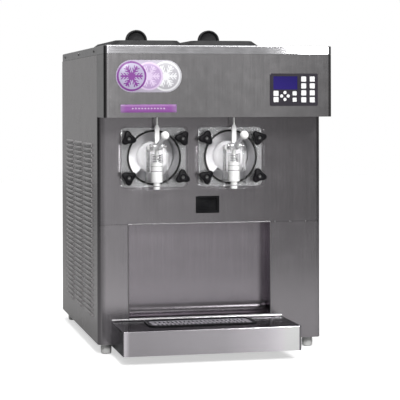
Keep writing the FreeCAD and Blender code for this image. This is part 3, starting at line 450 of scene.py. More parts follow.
# painted highlights; steelEdge and steelScrew are darker, painted shade over their highlights
# the cabinet sheets are one steel in lighter and darker copies: steelShelf and steelRolled are lighter,
steels = {  # dark tint, light tint, roughness, brushing, metal, wear
    "steelFront": ((0.335, 0.318, 0.334), (0.43, 0.409, 0.430), 0.21, upright, 1.0, 0.5),
    "steelHeader": ((0.335, 0.325, 0.332), (0.43, 0.42, 0.428), 0.21, upright, 1.0, 0.5),
    "steelSide": ((0.34, 0.325, 0.33), (0.43, 0.41, 0.415), 0.23, upright, 1.0, 0.5),
    "steelTop": ((0.42, 0.415, 0.43), (0.54, 0.535, 0.55), 0.20, sideways, 1.0, 0.5),
    "steelRecess": ((0.36, 0.333, 0.362), (0.46, 0.426, 0.462), 0.20, upright, 1.0, 0.5),
    "steelShelf": ((0.50, 0.478, 0.506), (0.60, 0.575, 0.606), 0.17, sideways, 1.0, 0.5),
    "steelTank": ((0.54, 0.54, 0.55), (0.62, 0.62, 0.63), 0.38, lengthways, 0.75, 0.2),
    "steelBarrel": ((0.50, 0.50, 0.51), (0.72, 0.72, 0.73), 0.24, lengthways, 0.95, 0.2),
    "steelSmall": ((0.50, 0.50, 0.50), (0.74, 0.74, 0.75), 0.22, sideways, 0.95, 0.3),
    "steelLouvre": ((0.42, 0.405, 0.41), (0.52, 0.50, 0.505), 0.24, lengthways, 1.0, 0.5),
    "steelEdge": ((0.27, 0.26, 0.27), (0.35, 0.34, 0.35), 0.30, sideways, 1.0, 0.5),
    "steelRolled": ((0.62, 0.61, 0.62), (0.74, 0.73, 0.74), 0.16, sideways, 1.0, 0.5),
    "steelScrew": ((0.09, 0.09, 0.09), (0.16, 0.16, 0.16), 0.42, sideways, 0.9, 0.5),
    "zincFrame": ((0.42, 0.44, 0.45), (0.60, 0.62, 0.63), 0.45, spangled, 0.8, 0.5),
    "finAlloy": ((0.50, 0.50, 0.50), (0.72, 0.72, 0.72), 0.38, upright, 0.9, 0.5),
    "chromeRod": ((0.80, 0.80, 0.81), (0.93, 0.93, 0.94), 0.30, lengthways, 1.0, 0.2),
    "gridSteel": ((0.25, 0.245, 0.27), (0.36, 0.35, 0.38), 0.42, sideways, 0.55, 0.5),
}
plastics = {  # tint, worn tint, roughness, coat, peel scale, peel depth, gleam
    "whiteMoulding": ((0.80, 0.80, 0.797), (0.75, 0.745, 0.74), 0.30, 0.2, 900.0, 0.12, 0.5),
    "paleAuger": ((0.90, 0.89, 0.905), (0.82, 0.81, 0.83), 0.36, 0.1, 900.0, 0.12, 0.5),
    "coverBlack": ((0.006, 0.006, 0.007), (0.014, 0.014, 0.015), 0.48, 0.0, 700.0, 0.12, 0.28),
    "knobBlack": ((0.004, 0.004, 0.005), (0.010, 0.009, 0.011), 0.40, 0.0, 1200.0, 0.2, 0.16),
    "trayBlack": ((0.006, 0.006, 0.007), (0.014, 0.014, 0.016), 0.5, 0.0, 900.0, 0.12, 0.06),
    "switchBlack": ((0.004, 0.004, 0.005), (0.010, 0.010, 0.011), 0.45, 0.0, 900.0, 0.12, 0.10),
    "rubberBlack": ((0.012, 0.012, 0.012), (0.028, 0.027, 0.026), 0.62, 0.0, 1600.0, 0.3, 0.5),
    "footGrey": ((0.62, 0.62, 0.61), (0.72, 0.72, 0.71), 0.55, 0.0, 1600.0, 0.3, 0.5),
    "foamCream": ((0.62, 0.55, 0.38), (0.72, 0.66, 0.50), 0.85, 0.0, 300.0, 0.8, 0.5),
    "enamelBlack": ((0.012, 0.012, 0.013), (0.03, 0.03, 0.03), 0.25, 0.5, 500.0, 0.25, 0.5),
    "castGrey": ((0.20, 0.21, 0.22), (0.30, 0.31, 0.32), 0.50, 0.0, 420.0, 0.6, 0.5),
    "fanDark": ((0.03, 0.03, 0.033), (0.06, 0.06, 0.065), 0.45, 0.0, 900.0, 0.12, 0.5),
}
doorFacts = {"tint": (0.96, 0.96, 0.97), "rough": 0.03, "bend": 1.46, "thin": 0.12, "thick": 0.5}

finish = {name: brushedSteel(name, *facts) for name, facts in steels.items()}
finish.update({name: mouldedPlastic(name, *facts) for name, facts in plastics.items()})
finish["doorClear"] = clearPlastic("doorClear", doorFacts)
finish["keypadMembrane"] = keypadMembrane("keypadMembrane")
finish["displayGlass"] = displayGlass("displayGlass")


# painted light and shade on the steel: colour lighter and darker by place, copying the room's reflections

def scaleColour(tree, factor):
    # the colour so far, times a factor
    colour = tree.nodes["Principled BSDF"].inputs["Base Color"]
    scale = tree.nodes.new("ShaderNodeVectorMath")
    scale.operation = "SCALE"
    tree.links.new(colour.links[0].from_socket, scale.inputs[0])
    tree.links.new(factor, scale.inputs["Scale"])
    tree.links.new(scale.outputs[0], colour)


def paintShadeByPlace(material, shades):
    # painted light and shade by place
    # colour times a product of ramps: (axis, from, to, factor at from, factor at to), held beyond their ends
    tree = material.node_tree
    split = addSplit(tree, tree.nodes["coords"].outputs["Object"])
    factor = 1.0
    for axis, low, high, toLow, toHigh in shades:
        factor = addMath(tree, "MULTIPLY", addRange(tree, split[axis], low, high, toLow, toHigh), factor)
    scaleColour(tree, factor)


def paintLouvreShade(material, facts, ramp):
    # painted highlight and shade on the louvre rows, set by each one's height
    # colour times a ramp of each louvre's own height: height = (z - lowest lip) modulo the pitch
    tree = material.node_tree
    split = addSplit(tree, tree.nodes["coords"].outputs["Object"])
    aboveLip = addMath(tree, "SUBTRACT", split["Z"], facts["lip"])
    rise = addMath(tree, "FLOORED_MODULO", aboveLip, facts["pitch"])
    factor = addRange(tree, rise, *ramp)
    strength = addRange(tree, split["Z"], *facts["fade"])
    columns = 0.0
    for centre in facts["columns"]:
        away = addMath(tree, "ABSOLUTE", addMath(tree, "SUBTRACT", split["Y"], centre))
        band = addRange(tree, away, facts["half"] - 0.001, facts["half"], 1.0, 0.0)
        columns = addMath(tree, "MAXIMUM", band, columns)
    above = addRange(tree, split["Z"], facts["bottom"], facts["bottom"] + 0.0005)
    below = addRange(tree, split["Z"], facts["top"], facts["top"] + 0.0005, 1.0, 0.0)
    for mask in (columns, above, below):
        strength = addMath(tree, "MULTIPLY", strength, mask)
    change = addMath(tree, "MULTIPLY", strength, addMath(tree, "SUBTRACT", factor, 1.0))
    scaleColour(tree, addMath(tree, "ADD", 1.0, change))


def leanNormals(material, low, high, facts):
    # tips the shading of one upright face back: normal + (0, 0, lean) inside the face's box, made unit long
    tree = material.node_tree
    bump = tree.nodes["Principled BSDF"].inputs["Normal"].links[0].from_node
    split = addSplit(tree, tree.nodes["coords"].outputs["Object"])
    ahead = addRange(tree, split["Y"], low.y + 0.002, low.y + 0.001)
    above = addRange(tree, split["Z"], low.z, low.z + 0.001)
    below = addRange(tree, split["Z"], high.z - 0.003, high.z - 0.004)
    inside = addMath(tree, "MULTIPLY", ahead, addMath(tree, "MULTIPLY", above, below))
    lean = addRange(tree, split["X"], *facts["across"], *facts["lean"])
    rise = tree.nodes.new("ShaderNodeCombineXYZ")
    tree.links.new(addMath(tree, "MULTIPLY", inside, lean), rise.inputs["Z"])
    surface = tree.nodes.new("ShaderNodeNewGeometry")
    tipped = tree.nodes.new("ShaderNodeVectorMath")
    tree.links.new(surface.outputs["Normal"], tipped.inputs[0])
    tree.links.new(rise.outputs[0], tipped.inputs[1])
    unit = tree.nodes.new("ShaderNodeVectorMath")
    unit.operation = "NORMALIZE"
    tree.links.new(tipped.outputs[0], unit.inputs[0])
    tree.links.new(unit.outputs[0], bump.inputs["Normal"])


leftX, rightX = -halfWidth, halfWidth
shelfLow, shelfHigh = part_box("drip_shelf")
paintedLightAndShade = {
    # painted shade on the left corner, a painted highlight beside it, lighter towards the right end
    "steelTop": [
        ("X", leftX + 0.006, leftX + 0.011, 0.35, 1.0), ("X", leftX + 0.011, leftX + 0.03, 1.3, 1.0),
        ("X", 0.02, 0.14, 1.0, 1.3),
    ],
    # painted shade on the left corner, a painted highlight beside it, lighter to mid right, darker at the
    # right end
    "steelHeader": [
        ("X", leftX + 0.006, leftX + 0.011, 0.40, 1.0), ("X", leftX + 0.011, leftX + 0.035, 1.1, 1.0),
        ("X", -0.10, 0.12, 1.0, 1.28), ("X", 0.14, 0.31, 1.0, 0.86),
        ("X", rightX - 0.008, rightX - 0.002, 1.0, 0.5),
    ],
    # painted shade on the left corner band, darker to the right, lighter below the seam, painted shade under
    # the header
    "steelFront": [
        ("X", leftX + 0.008, leftX + 0.024, 0.40, 1.0), ("X", -0.09, 0.05, 1.05, 1.0),
        ("X", 0.06, 0.18, 1.0, 0.88), ("Z", 0.370, 0.376, 1.08, 1.0), ("Z", 0.52, 0.64, 1.0, 0.88),
    ],
    # painted shade on the shelf top and left end, painted highlight on the left corner, lighter towards the
    # right, dark right end
    "steelShelf": [
        ("Z", shelfHigh.z - 0.0016, shelfHigh.z - 0.0004, 1.0, 0.36),
        ("X", shelfLow.x + 0.0008, shelfLow.x + 0.0016, 0.22, 1.0),
        ("X", shelfLow.x + 0.005, shelfLow.x + 0.018, 1.9, 1.0),
        ("X", -0.24, -0.01, 0.77, 0.98), ("X", -0.01, 0.107, 1.0, 1.43), ("X", 0.107, 0.195, 1.0, 1.5),
        ("X", shelfHigh.x - 0.008, shelfHigh.x - 0.006, 1.0, 0.22),
    ],
    # painted shade over the cove's highlight, a lighter floor below it, lighter towards the top
    "steelRecess": [
        ("Z", 0.104, 0.110, 1.8, 1.0), ("Z", 0.110, 0.117, 1.0, 0.20), ("Z", 0.128, 0.140, 1.0, 5.0),
        ("Z", 0.22, 0.33, 0.97, 1.18),
    ],
    # painted shade near the shelf's front
    "steelRolled": [("Y", shelfLow.y + 0.01, shelfLow.y + 0.02, 0.3, 1.0)],
    # painted shade, darker towards the bottom
    "steelSide": [("Z", 0.04, 0.14, 0.68, 1.0)],
}
# and a painted shadow on the side sheet under each hood's lip, strongest towards the top
# louvre rows; the ramps paint a highlight on each hood's top, shade on its lower part,
louvreRows = {
    "lip": 0.0837, "pitch": 0.0147, "half": 0.083, "bottom": 0.0945, "top": 0.6090,
    "fade": (0.15, 0.55, 0.45, 1.0), "columns": [frontY + y for y in (0.191, 0.385, 0.577)],
    "ramps": {"steelLouvre": (0.0005, 0.0095, 0.25, 1.75), "steelSide": (0.0095, 0.0103, 1.0, 0.30)},
}
lipLean = {"across": (0.13, 0.28), "lean": (0.045, 0.24)}
edgeTints = {"steelShelf": (0.42, 0.42, 0.43, 1), "steelRecess": (0.30, 0.29, 0.30, 1)}

for name, ramp in louvreRows["ramps"].items():
    paintLouvreShade(finish[name], louvreRows, ramp)
for name, shades in paintedLightAndShade.items():
    paintShadeByPlace(finish[name], shades)
for name, tint in edgeTints.items():
    finish[name].node_tree.nodes["Principled BSDF"].inputs["Specular Tint"].default_value = tint
leanNormals(finish["steelTop"], *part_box("top_pan"), lipLean)


def both(start):
    return [start + "left", start + "right"]


wearers = {
    "zincFrame": ["base_pan", "chassis", "control_box"],
    "steelSide": both("side_panel_") + ["rear_panel"],
    "steelFront": ["front_panel", "lower_front_panel"], "steelHeader": ["header_shell"],
    "steelTop": ["top_pan"], "steelRecess": ["splash_panel"], "steelShelf": ["drip_shelf"],
    "steelTank": both("hopper_"), "steelBarrel": ["freezing_cylinders"], "steelScrew": ["panel_screws"],
    "steelSmall": ["spigot_pins"] + both("spigot_spring_") + both("torque_paddle_"),
    "chromeRod": both("spigot_handle_"), "doorClear": both("front_door_"),
    "displayGlass": ["lcd_screen"], "keypadMembrane": ["keypad"],
    "whiteMoulding": both("spigot_plunger_") + both("handle_ball_") + both("torque_arm_") + ["feed_tubes"],
    "paleAuger": both("auger_"), "coverBlack": both("hopper_cover_"),
    "knobBlack": [name for name in frame["nodes"] if name.startswith("door_knob")],
    "trayBlack": ["drip_tray"], "gridSteel": ["drip_grid"],
    "switchBlack": ["switch_bezel", "power_rocker", "torque_switches"],
    "footGrey": ["feet"], "rubberBlack": ["door_gaskets", "cord_gland"], "foamCream": ["barrel_insulation"],
    "castGrey": ["gearmotors"], "enamelBlack": ["compressor", "fan_motor"],
    "finAlloy": ["condenser"], "fanDark": ["condenser_fan"],
}
for finishName, nodeNames in wearers.items():
    for nodeName in nodeNames:
        materials = frame["nodes"][nodeName].data.materials
        materials.clear()
        materials.append(finish[finishName])
print("finishes ready")


# door knobs

knob = {
    "core": 14.7, "lobe": 8.3, "sharpness": 1.25, "steps": 96,
    "metalFrom": 17,   # rings from here on are the steel insert
    "turns": {"left": (12, -35, 60, 4), "right": (40, -20, 15, -50)},   # degrees, corner by corner
}

knobRings = [  # share of the round core, radius share or radius in mm, height above the door in mm
    (0, 0.55, 0.3), (0, 0.90, 0.3), (0, 0.97, 0.9), (0, 1.0, 2.4), (0, 1.0, 11.0), (0, 0.985, 13.2),
    (0, 0.93, 15.0), (0, 0.84, 16.2), (0.3, 0.80, 16.8), (0.75, 0.80, 17.0), (1, 11.2, 17.1), (1, 10.5, 17.6),
    (1, 10.2, 19.2),
    (1, 9.6, 19.9), (1, 8.4, 20.0), (1, 6.0, 19.7), (1, 5.2, 18.9), (1, 5.0, 16.6), (1, 0.6, 16.4),
]


def knobPoints(facts, rings):
    # a ring at angle a has radius (core + lobe * ((1 + cos 3a) / 2) ** sharpness) * share, blended into a
    # plain circle towards the top
    angle = np.linspace(0, 2 * math.pi, facts["steps"], endpoint=False)
    wave = (1 + np.cos(3 * (angle - math.pi / 2))) / 2
    lobed = facts["core"] + facts["lobe"] * wave ** facts["sharpness"]
    table = np.array(rings, float)
    blend, share, height = table[:, :1], table[:, 1:2], table[:, 2:3]
    plain = np.where(blend >= 1, share, share * facts["core"])
    radius = (1 - blend) * share * lobed[None, :] + blend * plain
    points = np.stack([radius * np.cos(angle), radius * np.sin(angle), height * np.ones_like(angle)], -1)
    return points.reshape(-1, 3) / 1000


def buildKnobs(facts):
    # the rings lofted once, then turned about Y and set on each door knob's axis
    points = knobPoints(facts, knobRings)
    steps, rings = facts["steps"], len(knobRings)
    faces = gridFaces(rings, steps, wrapCols=True).tolist()
    faces.append(list(range(steps))[::-1])
    faces.append([(rings - 1) * steps + i for i in range(steps)])
    for side, turns in facts["turns"].items():
        corners = ("upper_outer", "upper_inner", "lower_outer", "lower_inner")
        for corner, turn in zip(corners, turns):
            node = "door_knob_%s_%s" % (side, corner)
            body = "knob_%s_%s" % (side, corner)
            centre = jointPlace(body + "_turn")
            swing = math.radians(turn)
            c, s = math.cos(swing), math.sin(swing)
            axes = np.array([(c, 0, s), (-s, 0, c), (0, -1, 0)])
            placed = points @ axes + (centre[0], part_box(node)[1].y, centre[2])
            piece = makePiece("handKnob_%s_%s" % (side, corner), placed, faces, body)
            piece.data.materials.append(finish["knobBlack"])
            piece.data.materials.append(finish["steelScrew"])
            index = np.zeros(len(piece.data.polygons), int)
            index[facts["metalFrom"] * steps:] = 1
            index[len(faces) - 2] = 0
            piece.data.polygons.foreach_set("material_index", index)
            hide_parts(node)


buildKnobs(knob)
print("door knobs ready")


# handle balls and plunger rings

ball = {
    "radius": 12.0, "neck": 6.6, "seam": 0.10, "around": 64, "along": 40,   # mm, mm, mm and counts
    "collar": ((0.004, 0.88), (0.0038, 0.96), (0.003, 1.0)),   # back along the neck in m, share of its radius
}


def revolve(profile, origin, axis, around=64):
    # a profile of (distance along the axis, radius) turned about an axis through origin, closed at both ends
    axis = np.array(axis, float) / np.linalg.norm(axis)
    side = np.cross(axis, (0, 0, 1) if abs(axis[2]) < 0.9 else (1, 0, 0))
    side /= np.linalg.norm(side)
    other = np.cross(axis, side)
    profile = np.array(profile, float)
    angle = np.linspace(0, 2 * math.pi, around, endpoint=False)
    ring = side[None, :] * np.cos(angle)[:, None] + other[None, :] * np.sin(angle)[:, None]
    points = profile[:, 0, None, None] * axis + profile[:, 1, None, None] * ring[None]
    count = len(profile)
    points = np.concatenate([points.reshape(-1, 3), profile[[0, -1], 0, None] * axis])
    faces = gridFaces(count, around, wrapCols=True, flip=True).tolist()
    first, last = count * around, count * around + 1
    for i in range(around):
        faces.append([first, (i + 1) % around, i])
        faces.append([last, (count - 1) * around + i, (count - 1) * around + (i + 1) % around])
    return points + np.asarray(origin, float), faces


def buildBalls(facts):
    # a ball on a neck, with a fine seam: at angle a it is radius + seam * exp(-(a / 0.05)^2) from its centre
    for side in ("left", "right"):
        low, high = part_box("handle_ball_" + side)
        centre = (np.array(low) + np.array(high)) / 2
        along = centre - np.array(jointPlace("handle_%s_hinge" % side))
        along[0] = 0
        along /= np.linalg.norm(along)
        radius = facts["radius"] / 1000
        neckAngle = math.acos(facts["neck"] / facts["radius"])
        angle = np.linspace(neckAngle, -math.pi / 2 + 0.05, facts["along"])
        seam = 1 + facts["seam"] / facts["radius"] * np.exp(-(angle / 0.05) ** 2)
        profile = np.stack([-radius * np.sin(angle) * seam, radius * np.cos(angle) * seam], -1)
        neckStart = profile[0, 0]
        neck = facts["neck"] / 1000
        collar = [[neckStart - back, neck * share] for back, share in facts["collar"]]
        points, faces = revolve(np.concatenate([collar, profile]), centre, along, facts["around"])
        piece = makePiece("gripBall_" + side, points, faces, "handle_" + side)
        turnRight(piece)
        piece.data.materials.append(finish["whiteMoulding"])
        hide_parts("handle_ball_" + side)


buildBalls(ball)


plungerRing = {
    "levels": (  # height, outer radius and thickness, in mm
        (-38.0, 17.5, 1.5), (-24.0, 17.45, 0.9), (-81.0, 9.85, 1.1),
    ),
    "foot": 0.090, "around": 72, "section": 14,   # heights count from this far above the plunger's foot
}


def buildPlungerRings(facts):
    # rubber rings in grooves: a circle of the section's radius carried round the plunger's axis
    around = np.linspace(0, 2 * math.pi, facts["around"], endpoint=False)
    section = np.linspace(0, 2 * math.pi, facts["section"], endpoint=False)
    for side in ("left", "right"):
        low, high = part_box("spigot_plunger_" + side)
        centreX, centreY = (low.x + high.x) / 2, (low.y + high.y) / 2
        barrelZ = low.z + facts["foot"]
        for number, (level, outer, thick) in enumerate(facts["levels"], 1):
            mean = (outer - thick) / 1000
            r = mean + thick / 1000 * np.cos(section)
            z = barrelZ + level / 1000 + thick / 1000 * np.sin(section)
            points = np.stack([
                centreX + np.outer(np.cos(around), r), centreY + np.outer(np.sin(around), r),
                np.broadcast_to(z, (facts["around"], facts["section"])),
            ], -1).reshape(-1, 3)
            faces = gridFaces(facts["around"], facts["section"], True, True).tolist()
            name = "sealRing_%s_%d" % (side, number)
            piece = makePiece(name, points, faces, "plunger_" + side)
            turnRight(piece)
            piece.data.materials.append(finish["rubberBlack"])


buildPlungerRings(plungerRing)
print("balls and rings ready")


# hopper covers

cover = {
    "tank": (99.5, 194.5), "arc": 10, "straight": 6, "wall": 3.0,   # half width and half length, in mm
    "grip": {"half": 33.0, "centre": 28.0, "foot": 18.0, "arc": 40},  # heights above the top pan, in mm
}

coverRings = [  # margin beyond the tank in mm, height above the top pan in mm, corner radius in mm
    (13.9, 0.7, 35.9), (13.9, 5.6, 35.9), (13.6, 6.9, 35.6), (12.8, 8.0, 34.8), (11.6, 8.9, 34.0),
    (-3.6, 20.3, 25.0), (-4.8, 21.2, 24.2), (-6.4, 21.8, 23.2), (-8.4, 22.0, 22.0), (-17.0, 22.0, 16.0),
    (-18.4, 21.7, 15.2),
    (-19.4, 20.9, 14.6), (-20.2, 19.9, 14.0), (-21.4, 19.4, 13.2), (-60.0, 19.3, 12.0),
]
gripRings = [  # inset of the outline in mm, distance from the middle in mm
    (23.0, -2.6), (8.6, -2.6), (7.2, -3.2), (6.4, -4.6), (5.9, -8.2), (5.2, -9.4), (4.2, -9.9), (1.8, -9.9),
    (0.7, -9.4), (0.1, -8.2), (0.0, -7.0), (0.0, 7.0), (0.1, 8.2), (0.7, 9.4), (1.8, 9.9), (4.2, 9.9),
    (5.2, 9.4), (5.9, 8.2), (6.4, 4.6), (7.2, 3.2), (8.6, 2.6), (23.0, 2.6),
]


def roundedLoop(halfX, halfY, radius, arc, straight):
    # a rectangle with round corners: each corner's arc, then points on the straight to the next
    quarter = np.linspace(0, math.pi / 2, arc)
    signs = ((1, -1), (1, 1), (-1, 1), (-1, -1))
    centres = [np.array([signX * (halfX - radius), signY * (halfY - radius)]) for signX, signY in signs]
    loop = []
    for turn, centre in enumerate(centres):
        base = turn * math.pi / 2
        angle = quarter + base - math.pi / 2
        corner = centre + radius * np.stack([np.cos(angle), np.sin(angle)], -1)
        start, end = corner[-1], centres[(turn + 1) % 4] + radius * np.array([math.cos(base), math.sin(base)])
        share = np.linspace(0, 1, straight + 2)[1:-1, None]
        loop += [corner, start + (end - start) * share]
    return np.concatenate(loop)


def buildCovers(facts):
    # each ring is the tank's outline grown by a margin at a height; a hollow shell is lofted through them
    halfX, halfY = facts["tank"]
    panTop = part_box("top_pan")[1].z
    for side in ("left", "right"):
        low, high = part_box("hopper_cover_" + side)
        middle = ((low.x + high.x) / 2, (low.y + high.y) / 2)
        loops = []
        for margin, height, radius in coverRings:
            loop = roundedLoop(halfX + margin, halfY + margin, radius, facts["arc"], facts["straight"]) / 1000
            loops.append(np.column_stack([loop + middle, np.full(len(loop), panTop + height / 1000)]))
        count = len(loops[0])
        points = np.concatenate(loops)
        faces = gridFaces(len(loops), count, wrapCols=True).tolist()
        faces.append([(len(loops) - 1) * count + i for i in range(count)])
        shell = makePiece("lidShell_" + side, points, faces, "cover_" + side)
        shell.data.materials.append(finish["coverBlack"])
        wall = shell.modifiers.new("wall", "SOLIDIFY")
        wall.thickness = facts["wall"] / 1000
        wall.offset = -1
        grip = buildGrip("lidGrip_" + side, (*middle, panTop), "cover_" + side, facts["grip"])
        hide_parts("hopper_cover_" + side)
        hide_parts("hopper_cover_" + side)


def buildGrip(name, origin, body, facts):
    # an arch outline, inset ring by ring and moved front to back, so the rim is thick and the web thin
    half = facts["half"]
    turn = np.linspace(0, math.pi, facts["arc"])
    loops = []
    for inset, depth in gripRings:
        radius = half - inset
        x = np.concatenate([[radius], radius * np.cos(turn), [-radius]])
        z = np.concatenate([[facts["foot"]], facts["centre"] + radius * np.sin(turn), [facts["foot"]]])
        loops.append(np.stack([x, np.full_like(x, depth), z], -1))
    count = len(loops[0])
    points = np.concatenate(loops) / 1000 + origin
    faces = gridFaces(len(loops), count, wrapCols=True).tolist()
    faces.append(list(range(count)))
    faces.append([(len(loops) - 1) * count + i for i in range(count)][::-1])
    grip = makePiece(name, points, faces, body)
    turnRight(grip)
    grip.data.materials.append(finish["coverBlack"])
    return grip


buildCovers(cover)
print("hopper covers ready")


# front decals

badge = {
    "middle": (-0.2055, 0.8025), "size": (0.189, 0.091), "thick": 0.0006, "corner": 0.0452,
    "discs": [  # offset and radius in m, ground, ink; the last one lies on top
        (0.0485, 0.0425, (0.42, 0.41, 0.44), (0.72, 0.72, 0.74)),
        (0.0, 0.0405, (0.42, 0.30, 0.50), (0.62, 0.50, 0.68)),
        (-0.0495, 0.0425, (0.40, 0.36, 0.50), (0.19, 0.035, 0.25)),
    ],
}
strip = {"middle": (-0.2065, 0.7115), "size": (0.161, 0.0225), "thick": 0.0005, "corner": 0.002}


def buildPlate(name, facts, material):
    # a thin plate on the header: its rounded outline, drawn in ring by ring towards a softened front edge
    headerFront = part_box("header_shell")[0].y
    halfX, halfZ = facts["size"][0] / 2, facts["size"][1] / 2
    thick, radius = facts["thick"], facts["corner"]
    loops = []
    for inset, out in ((0, 0.0), (0, thick * 0.6), (thick * 0.4, thick), (min(halfX, halfZ) * 0.6, thick)):
        corner = max(radius - inset, 0.0004)
        loop = roundedLoop(halfX - inset, halfZ - inset, corner, 16, 10) + facts["middle"]
        loops.append(np.column_stack([loop[:, 0], np.full(len(loop), headerFront - out), loop[:, 1]]))
    count = len(loops[0])
    faces = gridFaces(len(loops), count, wrapCols=True).tolist()
    faces.append([(len(loops) - 1) * count + i for i in range(count)])
    faces.append(list(range(count))[::-1])
    piece = makePiece(name, np.concatenate(loops), faces, "cabinet")
    turnRight(piece)
    piece.data.materials.append(material)


def addSnowDisc(tree, split, centre, radius):
    # masks of one disc: inside it, its rim, and a flake of six straight barbed arms
    u = addMath(tree, "SUBTRACT", split["X"], centre[0])
    v = addMath(tree, "SUBTRACT", split["Z"], centre[1])
    square = addMath(tree, "ADD", addMath(tree, "MULTIPLY", u, u), addMath(tree, "MULTIPLY", v, v))
    far = addMath(tree, "SQRT", square)
    angle = addMath(tree, "ARCTAN2", v, u)
    inside = addRange(tree, far, radius - 0.0006, radius, 1.0, 0.0)
    rim = addMath(tree, "MULTIPLY", inside, addRange(tree, far, radius * 0.86, radius * 0.88))
    sector = math.pi / 3
    folded = addMath(tree, "PINGPONG", addMath(tree, "ADD", angle, 7 * math.pi + sector / 2), sector / 2)
    fromArm = addMath(tree, "SUBTRACT", sector / 2, folded)
    across = addMath(tree, "MULTIPLY", far, addMath(tree, "SINE", fromArm))
    arm = addRange(tree, across, radius * 0.055, radius * 0.075, 1.0, 0.0)
    lengthwise = addMath(tree, "MULTIPLY", far, addMath(tree, "COSINE", fromArm))
    barb = addMath(tree, "PINGPONG", addMath(tree, "SUBTRACT", lengthwise, across), radius * 0.2)
    barbs = addMath(tree, "ABSOLUTE", addMath(tree, "SUBTRACT", barb, radius * 0.1))
    barbMask = addRange(tree, barbs, radius * 0.045, radius * 0.06, 1.0, 0.0)
    near = addRange(tree, across, radius * 0.20, radius * 0.23, 1.0, 0.0)
    barbMask = addMath(tree, "MULTIPLY", barbMask, near)
    flake = addMath(tree, "MAXIMUM", arm, barbMask)
    reach = addRange(tree, far, radius * 0.74, radius * 0.76, 1.0, 0.0)
    return inside, addMath(tree, "MAXIMUM", rim, addMath(tree, "MULTIPLY", flake, reach))


def badgeInk():
    # three overlapping discs printed from deep violet to white over a pale silver ground
    material, tree, shader, vector = newMaterial("badgeInk")
    split = addSplit(tree, vector)
    low = badge["middle"][0] - badge["size"][0] / 2
    across = addRange(tree, split["X"], low, low + badge["size"][0])
    skin = placeGroup(tree, mouldGroup, vector, Scale=900.0)
    colour = addMix(tree, across, (0.38, 0.30, 0.46), (0.46, 0.46, 0.48))
    colour = addMix(tree, addMath(tree, "MULTIPLY", skin.outputs["Mottle"], 0.15), colour, (0.60, 0.58, 0.62))
    for offset, radius, ground, ink in badge["discs"]:
        centre = (badge["middle"][0] + offset, badge["middle"][1])
        inside, mark = addSnowDisc(tree, split, centre, radius)
        colour = addMix(tree, inside, colour, addMix(tree, mark, ground, ink))
    tree.links.new(colour, shader.inputs["Base Color"])
    tree.links.new(addRange(tree, skin.outputs["Mottle"], 0.2, 0.8, 0.30, 0.42), shader.inputs["Roughness"])
    return material


def stripInk():
    # violet band, paler at both ends, with a row of small white lozenges
    material, tree, shader, vector = newMaterial("stripInk")
    split = addSplit(tree, vector)
    low = strip["middle"][0] - strip["size"][0] / 2
    across = addRange(tree, split["X"], low, low + strip["size"][0])
    fromEnd = addMath(tree, "ABSOLUTE", addMath(tree, "SUBTRACT", across, 0.5))
    skin = placeGroup(tree, mouldGroup, vector, Scale=900.0)
    violet = addMix(tree, skin.outputs["Mottle"], (0.20, 0.055, 0.25), (0.25, 0.075, 0.31))
    colour = addMix(tree, addRange(tree, fromEnd, 0.40, 0.5, 0.0, 0.45), violet, (0.32, 0.26, 0.38))
    step = addMath(tree, "PINGPONG", split["X"], 0.0045)
    rise = addMath(tree, "ABSOLUTE", addMath(tree, "SUBTRACT", split["Z"], strip["middle"][1]))
    lozenge = addRange(tree, addMath(tree, "ADD", step, rise), 0.0026, 0.0031, 1.0, 0.0)
    lozenge = addMath(tree, "MULTIPLY", lozenge, addRange(tree, fromEnd, 0.30, 0.31, 0.75, 0.0))
    tree.links.new(addMix(tree, lozenge, colour, (0.58, 0.53, 0.62)), shader.inputs["Base Color"])
    tree.links.new(addRange(tree, skin.outputs["Mottle"], 0.2, 0.8, 0.30, 0.42), shader.inputs["Roughness"])
    return material


buildPlate("badgePlate", badge, badgeInk())
buildPlate("nameStrip", strip, stripInk())
print("decals ready")


# rolled edges, round the cup recess and along the shelf's back

edges = {
    "recess": {"low": (-0.245, 0.103), "high": (0.180, 0.376), "corner": 0.004, "radius": 0.0019},
    "shelf": {"fromX": -0.294, "toX": 0.214, "z": 0.1000, "radius": 0.0030}, "section": 9,
}


def tubePoints(path, across, radius, section):
    # half circles on a path in the front plane: path + across * r cos t, standing out of the plane by r sin t
    turn = np.linspace(0, math.pi, section)
    flat = path[:, None, :] + across[:, None, :] * (radius * np.cos(turn))[None, :, None]
    depth = np.broadcast_to(frontY + 0.0001 - radius * np.sin(turn), flat.shape[:2])
    return np.stack([flat[..., 0], depth, flat[..., 1]], -1).reshape(-1, 3)


def buildEdges(facts):
    # a half round bead round the recess's rounded loop and another along a straight line
    recess = facts["recess"]
    low, high = np.array(recess["low"]), np.array(recess["high"])
    middle, half = (low + high) / 2, (high - low) / 2
    path = roundedLoop(half[0], half[1], recess["corner"], 8, 30)
    step = np.roll(path, -1, 0) - np.roll(path, 1, 0)
    across = np.stack([step[:, 1], -step[:, 0]], -1) / np.linalg.norm(step, axis=1)[:, None]
    points = tubePoints(path + middle, across, recess["radius"], facts["section"])
    faces = gridFaces(len(path), facts["section"], wrapRows=True, flip=True).tolist()
    loop = makePiece("recessEdge", points, faces, "cabinet")
    loop.data.materials.append(finish["steelEdge"])
    shelf = facts["shelf"]
    x = np.linspace(shelf["fromX"], shelf["toX"], 40)
    path = np.stack([x, np.full_like(x, shelf["z"])], -1)
    across = np.broadcast_to((0.0, 1.0), path.shape)
    points = tubePoints(path, across, shelf["radius"], facts["section"])
    faces = gridFaces(len(path), facts["section"]).tolist()
    bead = makePiece("shelfEdge", points, faces, "cabinet")
    bead.data.materials.append(finish["steelRolled"])


buildEdges(edges)
print("rolled edges ready")


# louvres: a rounded hood over each pressed louvre of the side and rear panels

